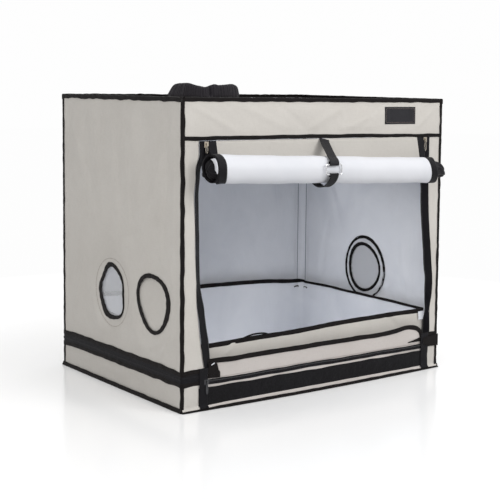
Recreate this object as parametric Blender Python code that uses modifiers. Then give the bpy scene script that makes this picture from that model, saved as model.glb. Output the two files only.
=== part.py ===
"""Indoor grow tent with its door rolled up, built as separate pieces.

Metres, +Z up. The origin is the middle of the base, on the surface that the
tent stands on. The door side faces -Y and the tent's left side faces -X.
"""

import math

import bmesh
import bpy
from mathutils import Matrix, Vector

# Overall size over the seams
TENT_WIDTH = 0.800
TENT_DEPTH = 0.570
TENT_HEIGHT = 0.705

# Sheet goods and their clearances
CLOTH = 0.0012
TAPE = 0.0010
SEAM_GAP = 0.0003
BINDING_WIDTH = 0.009
CUT_OVERRUN = 0.004

# Frame of steel tubes on plastic corners
TUBE_RADIUS = 0.008
TUBE_WALL = 0.0008
TUBE_SIDES = 16
SPIGOT_LENGTH = 0.030
HUB_ROUNDING = 0.002
FRAME_SLACK = 0.0005

# Hanger bars that ride on the top side rails
BAR_RADIUS = 0.006
BAR_SPACING = 0.220
SADDLE_WALL = 0.0015
SADDLE_WIDTH = 0.014
SADDLE_STEPS = 10
SADDLE_WRAP_SHARE = 0.72

# Door opening, measured to the teeth of its zip
HEADER_HEIGHT = 0.0955
ZIP_INSET = 0.0625
ZIP_SILL = 0.064

# Zip tape, teeth and sliders
LEG_TAPE_WIDTH = 0.026
SILL_TAPE_WIDTH = 0.0135
TEETH_WIDTH = 0.0024
TEETH_DEPTH = 0.0026
TEETH_BACKLASH = 0.0005
SLIDER_LENGTH = 0.0130
SLIDER_WIDTH = 0.0112
SLIDER_PLATE = 0.0012
SLIDER_NECK = 0.0026
SLIDER_DROP = 0.0095
CROWN_LENGTH = 0.0080
CROWN_WIDTH = 0.0022
CROWN_RISE = 0.0030
CROWN_WALL = 0.0008
PULL_LENGTH = 0.0290
PULL_WIDTH = 0.0070
PULL_THICKNESS = 0.0010
PULL_EYE = 0.0052
PULL_BORDER = 0.0012
PULL_GRIP_HOLE = 0.0020
BASE_SLIDER_INSET = 0.0665

# Front pillars and the base below the door
PILLAR_WIDTH = 0.0495
SILL_RISE = 0.0067
SILL_OVERLAP = 0.0065
FLAP_HEIGHT = 0.040
FLAP_END_CLEARANCE = 0.0018
BAND_LOW = 0.013
BAND_HIGH = 0.0495
BAND_END_LOW = 0.0097
BAND_END_WIDTH = 0.022

# Zip that joins the base to the upper cover, round the sides and back
BASE_HEM_TOP = 0.0677
SIDE_ZIP_WIDTH = 0.0190

# Rolled door
DOOR_CLOTH = 0.0012
DOOR_TAPE_WIDTH = 0.0192
ROLL_RADIUS = 0.0365
ROLL_PITCH = 0.0024
ROLL_TURNS = 2.2
ROLL_STEPS = 32
ROLL_CENTRE_OUT = 0.0475
ROLL_CENTRE_DOWN = 0.072
ROLL_SKEW = 0.022
DOOR_HINGE_DROP = 0.0012
CURTAIN_STEPS = 4

# Strap and ring that hold the roll
STRAP_WIDTH = 0.025
STRAP_CLOTH = 0.0012
STRAP_X = -0.003
STRAP_SKEW = 0.06
STRAP_TOP_DROP = 0.003
STRAP_TAIL = 0.006
STRAP_STEPS = 10
RING_WIDTH = 0.05
RING_CORNER = 0.004
RING_HEIGHT = 0.0262
RING_WIRE = 0.0016
RING_RISE = 0.003
RING_STANDOFF = 0.0042
RING_STEPS = 8

# Spill tray inside
TRAY_CLOTH = 0.0015
TRAY_HEIGHT = 0.1590
TRAY_RIM_HEIGHT = 0.009
TRAY_RIM_WIDTH = 0.003
TRAY_ROOM = 0.0025
TRAY_CORNER = 0.006
CORNER_STEPS = 3

# Vents in the side walls
VENT_HEIGHT = 0.2305
VENT_HOLE_RADIUS = 0.061
VENT_RING_WIDTH = 0.009
NET_RADIUS = 0.086
NET_EDGE = 0.0085
NET_PITCH = 0.0145
NET_THREAD = 0.0022
PORT_FROM_FRONT = 0.121
VENT_SPACING = 0.191
RIGHT_VENT_Y = 0.002
COVER_RADIUS = 0.078
PORT_FLAP_WIDTH = 0.150
PORT_FLAP_RISE = 0.0735
PORT_FLAP_FALL = 0.0680
PORT_FLAP_CORNER = 0.020
ROUND_STEPS = 40

# Duct sleeve on the roof
DUCT_X = -0.140
DUCT_Y = 0.0
DUCT_RADIUS = 0.062
SLEEVE_CLOTH = 0.0016
SLEEVE_HEIGHT = 0.034
SLEEVE_BULGE = 0.026
SLEEVE_FOLDS = 3
SLEEVE_STEPS = 28

# Label patch, left plain
LABEL_WIDTH = 0.104
LABEL_HEIGHT = 0.043
LABEL_FROM_SIDE = 0.150
LABEL_DROP = 0.043

# Planes that neighbours share
HALF_WIDTH = TENT_WIDTH / 2
HALF_DEPTH = TENT_DEPTH / 2
PORT_Y = PORT_FROM_FRONT - HALF_DEPTH
LEFT_VENT_Y = PORT_Y + VENT_SPACING
LABEL_X = HALF_WIDTH - LABEL_FROM_SIDE
CLOTH_X = HALF_WIDTH - TAPE - SEAM_GAP
CLOTH_Y = HALF_DEPTH - TAPE - SEAM_GAP
LINING_X = CLOTH_X - CLOTH
LINING_Y = CLOTH_Y - CLOTH
ROOF_TOP = TENT_HEIGHT - TAPE - SEAM_GAP
ROOF_UNDER = ROOF_TOP - CLOTH
WALL_LOW = CLOTH + SEAM_GAP
WALL_HIGH = ROOF_UNDER - SEAM_GAP
HEADER_Z = TENT_HEIGHT - HEADER_HEIGHT
ZIP_X = HALF_WIDTH - ZIP_INSET
RAIL_X = LINING_X - FRAME_SLACK - TUBE_RADIUS
RAIL_Y = LINING_Y - FRAME_SLACK - TUBE_RADIUS
RAIL_LOW = CLOTH + FRAME_SLACK + TUBE_RADIUS
RAIL_HIGH = ROOF_UNDER - SADDLE_WALL - SEAM_GAP - SEAM_GAP - TUBE_RADIUS
PILLAR_X = LINING_X - PILLAR_WIDTH
FRONT_PLATE_Y = HALF_DEPTH + TEETH_DEPTH / 2 + SEAM_GAP
BACK_PLATE_Y = HALF_DEPTH - TEETH_DEPTH / 2 - SEAM_GAP
PULL_Y = FRONT_PLATE_Y + SLIDER_PLATE + (CROWN_RISE - CROWN_WALL) / 2
SILL_SHEET_Y = BACK_PLATE_Y - SLIDER_PLATE - SEAM_GAP
SILL_TOP = ZIP_SILL + SILL_RISE
SILL_CLOTH_TOP = ZIP_SILL - SLIDER_LENGTH / 2 - SEAM_GAP - SEAM_GAP
SIDE_ZIP_LOW = BASE_HEM_TOP + SEAM_GAP
UPPER_HEM_LOW = SIDE_ZIP_LOW + SIDE_ZIP_WIDTH + SEAM_GAP
LEG_TAPE_EDGE = ZIP_X + TEETH_BACKLASH + LEG_TAPE_WIDTH
DOOR_HALF = ZIP_X - SLIDER_WIDTH / 2 - TEETH_BACKLASH
DOOR_HINGE = Vector((0, -HALF_DEPTH + TAPE / 2, HEADER_Z - DOOR_HINGE_DROP))
ROLL_Y = -HALF_DEPTH - ROLL_CENTRE_OUT
ROLL_Z = HEADER_Z - ROLL_CENTRE_DOWN


class Finish:
    """A named plain material of the part."""

    def __init__(self, name, colour, roughness, metallic=0.0):
        self.material = bpy.data.materials.new(name)
        self.material.use_nodes = True
        shader = self.material.node_tree.nodes["Principled BSDF"]
        shader.inputs["Base Color"].default_value = (*colour, 1.0)
        shader.inputs["Roughness"].default_value = roughness
        shader.inputs["Metallic"].default_value = metallic


def clear_scene():
    """Removes what the file holds and makes the two collections."""
    for item in list(bpy.data.objects):
        bpy.data.objects.remove(item, do_unlink=True)
    collections = []
    for name in ("grow_tent", "cutters"):
        group = bpy.data.collections.new(name)
        bpy.context.scene.collection.children.link(group)
        collections.append(group)
    return collections


def add_object(name, data, finish):
    """Links a mesh or a curve as one named piece."""
    piece = bpy.data.objects.new(name, data)
    PARTS.objects.link(piece)
    if finish is not None:
        data.materials.append(finish.material)
    return piece


def finish_mesh(name, shape, finish):
    """Turns a bmesh into a piece with its faces pointing out."""
    bmesh.ops.recalc_face_normals(shape, faces=shape.faces)
    data = bpy.data.meshes.new(name)
    shape.to_mesh(data)
    shape.free()
    return add_object(name, data, finish)


def slab(name, low, high, finish):
    """A box between two corners, with its origin at its middle."""
    low, high = Vector(low), Vector(high)
    size = high - low
    shape = bmesh.new()
    bmesh.ops.create_cube(shape, size=1.0, matrix=Matrix.Diagonal((*size, 1.0)))
    piece = finish_mesh(name, shape, finish)
    piece.location = (low + high) / 2
    return piece


def outline(name, loops, thickness, finish, turn=None, place=(0, 0, 0)):
    """A flat outline, with any holes, filled and given a thickness."""
    data = bpy.data.curves.new(name, "CURVE")
    data.dimensions = "2D"
    data.fill_mode = "BOTH"
    data.extrude = thickness / 2
    for loop in loops:
        spline = data.splines.new("POLY")
        spline.points.add(len(loop) - 1)
        for point, (across, up) in zip(spline.points, loop):
            point.co = (across, up, 0, 1)
        spline.use_cyclic_u = True
    piece = add_object(name, data, finish)
    piece.matrix_world = Matrix.Translation(place) @ (turn or Matrix.Identity(4))
    return piece


def as_mesh(piece):
    """Replaces a curve piece by its welded mesh, in world coordinates."""
    bpy.context.view_layer.update()
    graph = bpy.context.evaluated_depsgraph_get()
    data = bpy.data.meshes.new_from_object(piece.evaluated_get(graph))
    data.transform(piece.matrix_world)
    weld = bmesh.new()
    weld.from_mesh(data)
    bmesh.ops.remove_doubles(weld, verts=weld.verts, dist=SEAM_GAP / 10)
    bmesh.ops.recalc_face_normals(weld, faces=weld.faces)
    weld.to_mesh(data)
    weld.free()
    name = piece.name
    bpy.data.objects.remove(piece, do_unlink=True)
    solid = bpy.data.objects.new(name, data)
    PARTS.objects.link(solid)
    return solid


def combine(piece, tool, operation):
    """Cuts a piece with a tool, or joins the tool to it."""
    PARTS.objects.unlink(tool)
    CUTTERS.objects.link(tool)
    tool.hide_render = True
    tool.display_type = "WIRE"
    boolean = piece.modifiers.new(operation.lower(), "BOOLEAN")
    boolean.operation = operation
    boolean.solver = "EXACT"
    boolean.object = tool


def solidify(piece, thickness, offset):
    """Gives an open surface its wall."""
    wall = piece.modifiers.new("wall", "SOLIDIFY")
    wall.thickness = thickness
    wall.offset = offset
    wall.use_even_offset = True
    return wall


def round_edges(piece, width):
    """Rounds the edges of a piece."""
    bevel = piece.modifiers.new("rounding", "BEVEL")
    bevel.width = width
    bevel.segments = 2
    return bevel


def smooth(piece):
    """Shades a round piece smooth, apart from its sharp edges."""
    piece.data.shade_smooth()
    piece.data.set_sharp_from_angle(angle=math.radians(40))


def set_origin(piece, origin):
    """Moves a piece's origin to a point of its joint's axis."""
    shift = Vector(origin) - piece.location
    piece.data.transform(Matrix.Translation(-shift))
    piece.location = Vector(origin)


def joint_group(name, origin, pieces):
    """Hangs the pieces of one moving body on an empty at its joint."""
    pivot = bpy.data.objects.new(name, None)
    pivot.location = origin
    PARTS.objects.link(pivot)
    bpy.context.view_layer.update()
    for piece in pieces:
        piece.parent = pivot
        piece.matrix_parent_inverse = pivot.matrix_world.inverted()
    return pivot


def arc(centre, radius, start, end, steps):
    """Points of an arc in a plane, from one angle to another."""
    points = []
    for step in range(steps + 1):
        angle = start + (end - start) * step / steps
        points.append((centre[0] + radius * math.cos(angle), centre[1] + radius * math.sin(angle)))
    return points


def circle(centre, radius, steps=ROUND_STEPS):
    """Points of a full circle."""
    return arc(centre, radius, 0.0, 2 * math.pi, steps)[:-1]


def rectangle(low, high):
    """Corner points of a rectangle."""
    return [(low[0], low[1]), (high[0], low[1]), (high[0], high[1]), (low[0], high[1])]


def rounded_rectangle(low, high, radius, steps=6):
    """Points of a rectangle with round corners."""
    quarter = math.pi / 2
    corners = (
        ((high[0] - radius, high[1] - radius), 0),
        ((low[0] + radius, high[1] - radius), 1),
        ((low[0] + radius, low[1] + radius), 2),
        ((high[0] - radius, low[1] + radius), 3),
    )
    points = []
    for centre, turn in corners:
        points += arc(centre, radius, turn * quarter, (turn + 1) * quarter, steps)
    return points


# A flat outline drawn with X across and Z up, facing the front
UPRIGHT = Matrix.Rotation(math.pi / 2, 4, "X")
# A flat outline drawn with Y across and Z up, facing a side
SIDEWAYS = Matrix.Rotation(math.pi / 2, 4, "Z") @ Matrix.Rotation(math.pi / 2, 4, "X")


def open_tube(name, radius, wall, length, axis, centre, finish):
    """A straight tube with a real bore."""
    shape = bmesh.new()
    bmesh.ops.create_cone(
        shape,
        cap_ends=False,
        segments=TUBE_SIDES,
        radius1=radius,
        radius2=radius,
        depth=length,
    )
    turn = Vector((0, 0, 1)).rotation_difference(Vector(axis)).to_matrix()
    bmesh.ops.rotate(shape, cent=(0, 0, 0), matrix=turn, verts=shape.verts)
    piece = finish_mesh(name, shape, finish)
    piece.location = centre
    smooth(piece)
    solidify(piece, wall, -1)
    return piece


def rod(name, radius, length, axis, centre, finish):
    """A straight solid rod."""
    shape = bmesh.new()
    bmesh.ops.create_cone(
        shape,
        cap_ends=True,
        segments=TUBE_SIDES,
        radius1=radius,
        radius2=radius,
        depth=length,
    )
    turn = Vector((0, 0, 1)).rotation_difference(Vector(axis)).to_matrix()
    bmesh.ops.rotate(shape, cent=(0, 0, 0), matrix=turn, verts=shape.verts)
    piece = finish_mesh(name, shape, finish)
    piece.location = centre
    smooth(piece)
    return piece


def corner_mesh(finish):
    """The plastic corner: a rounded hub with three spigots for the tubes."""
    hub_half = TUBE_RADIUS
    hub = slab("corner_hub", (-hub_half,) * 3, (hub_half,) * 3, finish)
    round_edges(hub, HUB_ROUNDING)
    radius = TUBE_RADIUS - TUBE_WALL - SEAM_GAP
    reach = hub_half + SPIGOT_LENGTH
    for name, axis in (("x", (1, 0, 0)), ("y", (0, 1, 0)), ("z", (0, 0, 1))):
        spigot = rod("spigot_" + name, radius, reach, axis, Vector(axis) * reach / 2, None)
        combine(hub, spigot, "UNION")
    bpy.context.view_layer.update()
    graph = bpy.context.evaluated_depsgraph_get()
    data = bpy.data.meshes.new_from_object(hub.evaluated_get(graph))
    data.name = "corner_connector"
    for tool in [modifier.object for modifier in hub.modifiers if modifier.type == "BOOLEAN"]:
        bpy.data.objects.remove(tool, do_unlink=True)
    bpy.data.objects.remove(hub, do_unlink=True)
    return data


def build_frame(steel, plastic):
    """Four poles, eight rails and eight corners."""
    tube_end = TUBE_RADIUS + SEAM_GAP
    corner = corner_mesh(plastic)
    for depth_name, side_y in (("front", -1), ("back", 1)):
        for width_name, side_x in (("left", -1), ("right", 1)):
            where = depth_name + "_" + width_name
            x, y = side_x * RAIL_X, side_y * RAIL_Y
            middle = (x, y, (RAIL_LOW + RAIL_HIGH) / 2)
            length = RAIL_HIGH - RAIL_LOW - 2 * tube_end
            open_tube("pole_" + where, TUBE_RADIUS, TUBE_WALL, length, (0, 0, 1), middle, steel)
            for level, height, side_z in (("bottom", RAIL_LOW, -1), ("top", RAIL_HIGH, 1)):
                piece = bpy.data.objects.new("corner_" + level + "_" + where, corner)
                PARTS.objects.link(piece)
                columns = [Vector((-side_x, 0, 0)), Vector((0, -side_y, 0)), Vector((0, 0, -side_z))]
                if side_x * side_y * side_z > 0:
                    columns[0], columns[1] = columns[1], columns[0]
                turn = Matrix(columns).transposed().to_4x4()
                piece.matrix_world = Matrix.Translation((x, y, height)) @ turn
    for level, height in (("bottom", RAIL_LOW), ("top", RAIL_HIGH)):
        for name, side in (("left", -1), ("right", 1)):
            open_tube(
                "rail_" + level + "_" + name,
                TUBE_RADIUS,
                TUBE_WALL,
                2 * (RAIL_Y - tube_end),
                (0, 1, 0),
                (side * RAIL_X, 0, height),
                steel,
            )
        for name, side in (("front", -1), ("back", 1)):
            open_tube(
                "rail_" + level + "_" + name,
                TUBE_RADIUS,
                TUBE_WALL,
                2 * (RAIL_X - tube_end),
                (1, 0, 0),
                (0, side * RAIL_Y, height),
                steel,
            )


def saddle_outline(side):
    """Hook from a bar's end up over a side rail, drawn with X across and Z up."""
    inner = TUBE_RADIUS + SEAM_GAP
    outer = inner + SADDLE_WALL
    tip = math.pi * (1 - SADDLE_WRAP_SHARE)
    over = arc((0, 0), outer, math.pi, tip, SADDLE_STEPS)
    under = arc((0, 0), inner, tip, math.pi, SADDLE_STEPS)
    foot = -BAR_RADIUS - SADDLE_WALL
    loop = [(-outer, foot)] + over + under + [(-inner, foot)]
    return [(side * (RAIL_X + across), up) for across, up in loop]


def build_hanger_bars(steel):
    """Two bars across the top, each hooked over the side rails."""
    for name, side in (("hanger_bar_front", -1), ("hanger_bar_back", 1)):
        y = side * BAR_SPACING / 2
        reach = RAIL_X - TUBE_RADIUS - SEAM_GAP - SADDLE_WALL / 2
        bar = rod(name, BAR_RADIUS, 2 * reach, (1, 0, 0), (0, y, RAIL_HIGH), steel)
        for end in (-1, 1):
            hook = outline(name + "_hook", [saddle_outline(end)], SADDLE_WIDTH, None, UPRIGHT)
            hook.location = (0, y, RAIL_HIGH)
            combine(bar, as_mesh(hook), "UNION")


def wall_with_holes(name, side, holes, finish):
    """A side wall, drawn with Y across and Z up."""
    loops = [rectangle((-CLOTH_Y, WALL_LOW), (CLOTH_Y, WALL_HIGH))]
    loops += [circle((hole_y, VENT_HEIGHT), VENT_HOLE_RADIUS) for hole_y in holes]
    x = side * (CLOTH_X - CLOTH / 2)
    return outline(name, loops, CLOTH, finish, SIDEWAYS, (x, 0, 0))


def build_cover(cloth, floor_cloth):
    """Walls, roof, floor and the fixed strips of the front."""
    wall_with_holes("left_wall", -1, (LEFT_VENT_Y, PORT_Y), cloth)
    wall_with_holes("right_wall", 1, (RIGHT_VENT_Y,), cloth)
    inner_x = LINING_X - SEAM_GAP
    slab("back_wall", (-inner_x, LINING_Y, WALL_LOW), (inner_x, CLOTH_Y, WALL_HIGH), cloth)
    slab("front_header", (-inner_x, -CLOTH_Y, HEADER_Z), (inner_x, -LINING_Y, WALL_HIGH), cloth)
    roof_loops = [
        rectangle((-CLOTH_X, -CLOTH_Y), (CLOTH_X, CLOTH_Y)),
        circle((DUCT_X, DUCT_Y), DUCT_RADIUS),
    ]
    outline("roof_panel", roof_loops, CLOTH, cloth, None, (0, 0, ROOF_UNDER + CLOTH / 2))
    slab("floor_sheet", (-CLOTH_X, -CLOTH_Y, 0), (CLOTH_X, CLOTH_Y, CLOTH), floor_cloth)
    top = HEADER_Z - SEAM_GAP
    slab("front_pillar_left", (-inner_x, -CLOTH_Y, WALL_LOW), (-PILLAR_X, -LINING_Y, top), cloth)
    slab("front_pillar_right", (PILLAR_X, -CLOTH_Y, WALL_LOW), (inner_x, -LINING_Y, top), cloth)


def build_front_base(cloth):
    """Base below the door, with a sheet that steps back behind the zip."""
    inner_sheet = SILL_SHEET_Y - CLOTH
    profile = [
        (-CLOTH_Y, WALL_LOW),
        (-LINING_Y, WALL_LOW),
        (-LINING_Y, SILL_CLOTH_TOP - SILL_OVERLAP),
        (-inner_sheet, SILL_CLOTH_TOP - SILL_OVERLAP),
        (-inner_sheet, SILL_TOP),
        (-SILL_SHEET_Y, SILL_TOP),
        (-SILL_SHEET_Y, SILL_CLOTH_TOP),
        (-CLOTH_Y, SILL_CLOTH_TOP),
    ]
    width = 2 * (PILLAR_X - SEAM_GAP)
    outline("front_base", [profile], width, cloth, SIDEWAYS)


def build_sill_flap(cloth):
    """Light flap that stands above the base, hinged at its lower edge."""
    half = DOOR_HALF - FLAP_END_CLEARANCE
    low = SILL_TOP + CLOTH / 2 + SEAM_GAP
    flap = slab(
        "sill_flap",
        (-half, -SILL_SHEET_Y, low),
        (half, -SILL_SHEET_Y + CLOTH, low + FLAP_HEIGHT),
        cloth,
    )
    pivot = Vector((0, -SILL_SHEET_Y + CLOTH / 2, low))
    set_origin(flap, pivot)


def face_height(face):
    """Height of a face's middle."""
    return face.calc_center_median().z


def seam_cage(name, low, high, open_top, tape):
    """Binding along the edges of a box of walls, as strips on both faces.

    The box's faces are inset by the binding's width and their middles are
    taken out, so one surface of narrow strips is left to be thickened.
    """
    shape = bmesh.new()
    size = Vector((TENT_WIDTH, TENT_DEPTH, high - low))
    middle = Matrix.Translation((0, 0, (low + high) / 2))
    bmesh.ops.create_cube(shape, size=1.0, matrix=middle @ Matrix.Diagonal((*size, 1.0)))
    ends = [min(shape.faces, key=face_height)]
    if open_top:
        ends.append(max(shape.faces, key=face_height))
    bmesh.ops.delete(shape, geom=ends, context="FACES_ONLY")
    panels = list(shape.faces)
    bmesh.ops.inset_individual(shape, faces=panels, thickness=BINDING_WIDTH, use_even_offset=True)
    bmesh.ops.delete(shape, geom=panels, context="FACES")
    data = bpy.data.meshes.new(name)
    shape.to_mesh(data)
    shape.free()
    piece = add_object(name, data, tape)
    solidify(piece, TAPE, -1)
    return piece


def build_bindings(tape):
    """Bound seams of the base and of the upper cover."""
    base = seam_cage("base_binding", SEAM_GAP, BASE_HEM_TOP, True, tape)
    cut_x = LEG_TAPE_EDGE + SEAM_GAP
    front_low = -HALF_DEPTH - CUT_OVERRUN
    front_high = -CLOTH_Y + CUT_OVERRUN
    sill_cut = slab(
        "base_front_cut",
        (-cut_x, front_low, BAND_HIGH),
        (cut_x, front_high, BASE_HEM_TOP + CUT_OVERRUN),
        None,
    )
    combine(base, sill_cut, "DIFFERENCE")
    upper = seam_cage("upper_binding", UPPER_HEM_LOW, TENT_HEIGHT, False, tape)
    door_cut = slab(
        "upper_front_cut",
        (-cut_x, front_low, UPPER_HEM_LOW - CUT_OVERRUN),
        (cut_x, front_high, UPPER_HEM_LOW + BINDING_WIDTH + CUT_OVERRUN),
        None,
    )
    combine(upper, door_cut, "DIFFERENCE")
    inset = TAPE / 10
    reach = HALF_WIDTH - BINDING_WIDTH / 2
    header = slab(
        "header_seam",
        (-reach, -HALF_DEPTH + inset, HEADER_Z),
        (reach, -HALF_DEPTH + TAPE - inset, HEADER_Z + BINDING_WIDTH),
        None,
    )
    combine(upper, header, "UNION")


def build_side_zip(tape):
    """Zip band round the left side, the back and the right side."""
    end = LEG_TAPE_EDGE + SEAM_GAP
    outer_x, outer_y = HALF_WIDTH, HALF_DEPTH
    inner_x, inner_y = HALF_WIDTH - TAPE, HALF_DEPTH - TAPE
    loop = [
        (-end, -outer_y),
        (-end, -inner_y),
        (-inner_x, -inner_y),
        (-inner_x, inner_y),
        (inner_x, inner_y),
        (inner_x, -inner_y),
        (end, -inner_y),
        (end, -outer_y),
        (outer_x, -outer_y),
        (outer_x, outer_y),
        (-outer_x, outer_y),
        (-outer_x, -outer_y),
    ]
    height = SIDE_ZIP_LOW + SIDE_ZIP_WIDTH / 2
    outline("side_zip_band", [loop], SIDE_ZIP_WIDTH, tape, None, (0, 0, height))


def u_outline(half, sill, leg_width, sill_width, top):
    """Outline of a U, drawn with X across and Z up."""
    outer_x, outer_z = half + leg_width, sill - sill_width
    return [
        (-outer_x, top),
        (-outer_x, outer_z),
        (outer_x, outer_z),
        (outer_x, top),
        (half, top),
        (half, sill),
        (-half, sill),
        (-half, top),
    ]


def build_door_zip(tape):
    """Frame-side half of the door's zip: tape with its row of teeth."""
    half = ZIP_X + TEETH_BACKLASH
    sill = ZIP_SILL - TEETH_BACKLASH
    top = HEADER_Z - SEAM_GAP
    cloth = outline(
        "door_zip",
        [u_outline(half, sill, LEG_TAPE_WIDTH, SILL_TAPE_WIDTH, top)],
        TAPE,
        tape,
        UPRIGHT,
        (0, -HALF_DEPTH + TAPE / 2, 0),
    )
    solid = as_mesh(cloth)
    teeth_top = top - SEAM_GAP
    teeth = outline(
        "door_zip_teeth",
        [u_outline(half - TEETH_BACKLASH / 4, sill + TEETH_BACKLASH / 4, TEETH_WIDTH, TEETH_WIDTH, teeth_top)],
        TEETH_DEPTH,
        None,
        UPRIGHT,
        (0, -HALF_DEPTH, 0),
    )
    combine(solid, as_mesh(teeth), "UNION")


def crown_arch(name, finish):
    """Arch on a slider's front plate, standing lengthwise along Z."""
    half = CROWN_LENGTH / 2
    wall = CROWN_WALL
    chamfer = wall / 2
    rise = CROWN_RISE
    root = SLIDER_PLATE / 2
    profile = [
        (root, -half),
        (root, -half + wall),
        (-rise + wall, -half + wall),
        (-rise + wall, half - wall),
        (root, half - wall),
        (root, half),
        (-rise + chamfer, half),
        (-rise, half - chamfer),
        (-rise, -half + chamfer),
        (-rise + chamfer, -half),
    ]
    return outline(name, [profile], CROWN_WIDTH, finish, SIDEWAYS)


def build_slider(name, centre, run, finish):
    """Slider: two plates round the teeth, a neck at its head and a crown.

    centre is on the teeth line, and run is the unit vector that the slider
    closes the zip along. The neck stands where the door's half would part.
    """
    run = Vector(run)
    across = Vector((0, 0, 1)) if run.x else Vector((-math.copysign(1, centre[0]), 0, 0))
    half_run, half_across = SLIDER_LENGTH / 2, SLIDER_WIDTH / 2
    extent = Vector((abs(run.x), 0, abs(run.z))) * half_run
    extent += Vector((abs(across.x), 0, abs(across.z))) * half_across
    middle = Vector((centre[0], 0, centre[1]))

    def plate(label, front_y, back_y, material):
        low = middle - extent
        high = middle + extent
        return slab(label, (low.x, -front_y, low.z), (high.x, -back_y, high.z), material)

    front = plate(name, FRONT_PLATE_Y + SLIDER_PLATE, FRONT_PLATE_Y, finish)
    round_edges(front, SLIDER_PLATE / 4)
    back = plate(name + "_back", BACK_PLATE_Y, BACK_PLATE_Y - SLIDER_PLATE, None)
    neck_middle = middle + run * (half_run - SLIDER_NECK) + across * (SLIDER_NECK / 2 + SEAM_GAP)
    neck_half = Vector((SLIDER_NECK / 2, 0, SLIDER_NECK / 2))
    low = neck_middle - neck_half
    high = neck_middle + neck_half
    front_y = FRONT_PLATE_Y + SLIDER_PLATE / 3
    back_y = BACK_PLATE_Y - SLIDER_PLATE / 3
    neck = slab(name + "_neck", (low.x, -front_y, low.z), (high.x, -back_y, high.z), None)
    combine(front, back, "UNION")
    combine(front, neck, "UNION")
    arch = crown_arch(name + "_crown", None)
    arch.location = (middle.x, -FRONT_PLATE_Y - SLIDER_PLATE, middle.z)
    combine(front, as_mesh(arch), "UNION")
    return front


def build_pull(name, centre, finish):
    """Pull tab whose top bar lies under the slider's crown."""
    half = PULL_WIDTH / 2
    border = PULL_BORDER
    top = border / 2
    tab = rounded_rectangle((-half, top - PULL_LENGTH), (half, top), border, 3)
    eye = rectangle((-half + border, top - border - PULL_EYE), (half - border, top - border))
    grip = circle((0, top - PULL_LENGTH + half + border / 2), PULL_GRIP_HOLE, 16)
    place = (centre[0], -PULL_Y, centre[1])
    return outline(name, [tab, eye, grip], PULL_THICKNESS, finish, UPRIGHT, place)


def build_zip_hardware(metal):
    """Door sliders at the top of their runs and the base slider at its left end."""
    top = HEADER_Z - SLIDER_DROP
    for name, side in (("left", -1), ("right", 1)):
        centre = (side * ZIP_X, top)
        build_slider("zip_slider_" + name, centre, (0, 0, 1), metal)
        build_pull("zip_pull_" + name, centre, metal)
    base_centre = (-HALF_WIDTH + BASE_SLIDER_INSET, ZIP_SILL)
    build_slider("zip_slider_base", base_centre, (1, 0, 0), metal)
    build_pull("zip_pull_base", base_centre, metal)


def build_hook_band(tape):
    """Wide hook-and-loop band of the base, with a block at each end."""
    block_in = ZIP_X - SLIDER_WIDTH / 2 - TEETH_BACKLASH
    block_out = block_in + BAND_END_WIDTH
    block_high = BAND_HIGH - SEAM_GAP
    band_high = block_high - SEAM_GAP
    loop = [
        (-block_out, BAND_END_LOW),
        (-block_in, BAND_END_LOW),
        (-block_in, BAND_LOW),
        (block_in, BAND_LOW),
        (block_in, BAND_END_LOW),
        (block_out, BAND_END_LOW),
        (block_out, block_high),
        (block_in, block_high),
        (block_in, band_high),
        (-block_in, band_high),
        (-block_in, block_high),
        (-block_out, block_high),
    ]
    place = (0, -HALF_DEPTH + TAPE / 2, 0)
    outline("hook_band", [loop], TAPE, tape, UPRIGHT, place)


def tangent_angle(point, radius, side):
    """Angle at which a line from a point touches a circle round the roll."""
    across, up = point[0] - ROLL_Y, point[1] - ROLL_Z
    distance = math.hypot(across, up)
    return math.atan2(up, across) + side * math.acos(radius / distance)


def roll_point(radius, angle):
    """A point at an angle round the roll's axis, as Y and Z."""
    return (ROLL_Y + radius * math.cos(angle), ROLL_Z + radius * math.sin(angle))


def ease(share):
    """Smooth step from 0 to 1."""
    share = min(max(share, 0.0), 1.0)
    return share * share * (3 - 2 * share)


def door_path():
    """The door's path from the header seam down and round the roll.

    The sheet hangs straight to the back of the roll, passes under it and up
    its front, and winds inwards at a steady pitch. Each entry holds Y, Z and
    how far the sheet has slid sideways there.
    """
    outer = ROLL_RADIUS - DOOR_CLOTH / 2
    start = (DOOR_HINGE.y, DOOR_HINGE.z)
    first = tangent_angle(start, outer, -1)
    touch = roll_point(outer, first)
    path = []
    for step in range(CURTAIN_STEPS):
        share = step / CURTAIN_STEPS
        y = start[0] + (touch[0] - start[0]) * share
        z = start[1] + (touch[1] - start[1]) * share
        path.append((y, z, 0.0))
    count = round(ROLL_TURNS * ROLL_STEPS)
    for step in range(count + 1):
        turns = step / ROLL_STEPS
        y, z = roll_point(outer - ROLL_PITCH * turns, first - 2 * math.pi * turns)
        path.append((y, z, -ROLL_SKEW * ease(2 * turns)))
    return path


def cloth_strip(name, path, left, right, thickness, finish):
    """A strip of cloth between two edges, carried along a path.

    A flat grid with one row of faces is laid on the path: each column of the
    grid takes the path's Y and Z, and its two ends take the strip's edges
    plus the path's sideways slide.
    """
    count = len(path) - 1
    shape = bmesh.new()
    bmesh.ops.create_grid(shape, x_segments=count, y_segments=1, size=1)
    for vertex in shape.verts:
        index = round((vertex.co.x + 1) / 2 * count)
        y, z, slide = path[index]
        edge = right if vertex.co.y > 0 else left
        vertex.co = (edge + slide, y, z)
    piece = finish_mesh(name, shape, finish)
    smooth(piece)
    solidify(piece, thickness, 0)
    return piece


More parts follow.
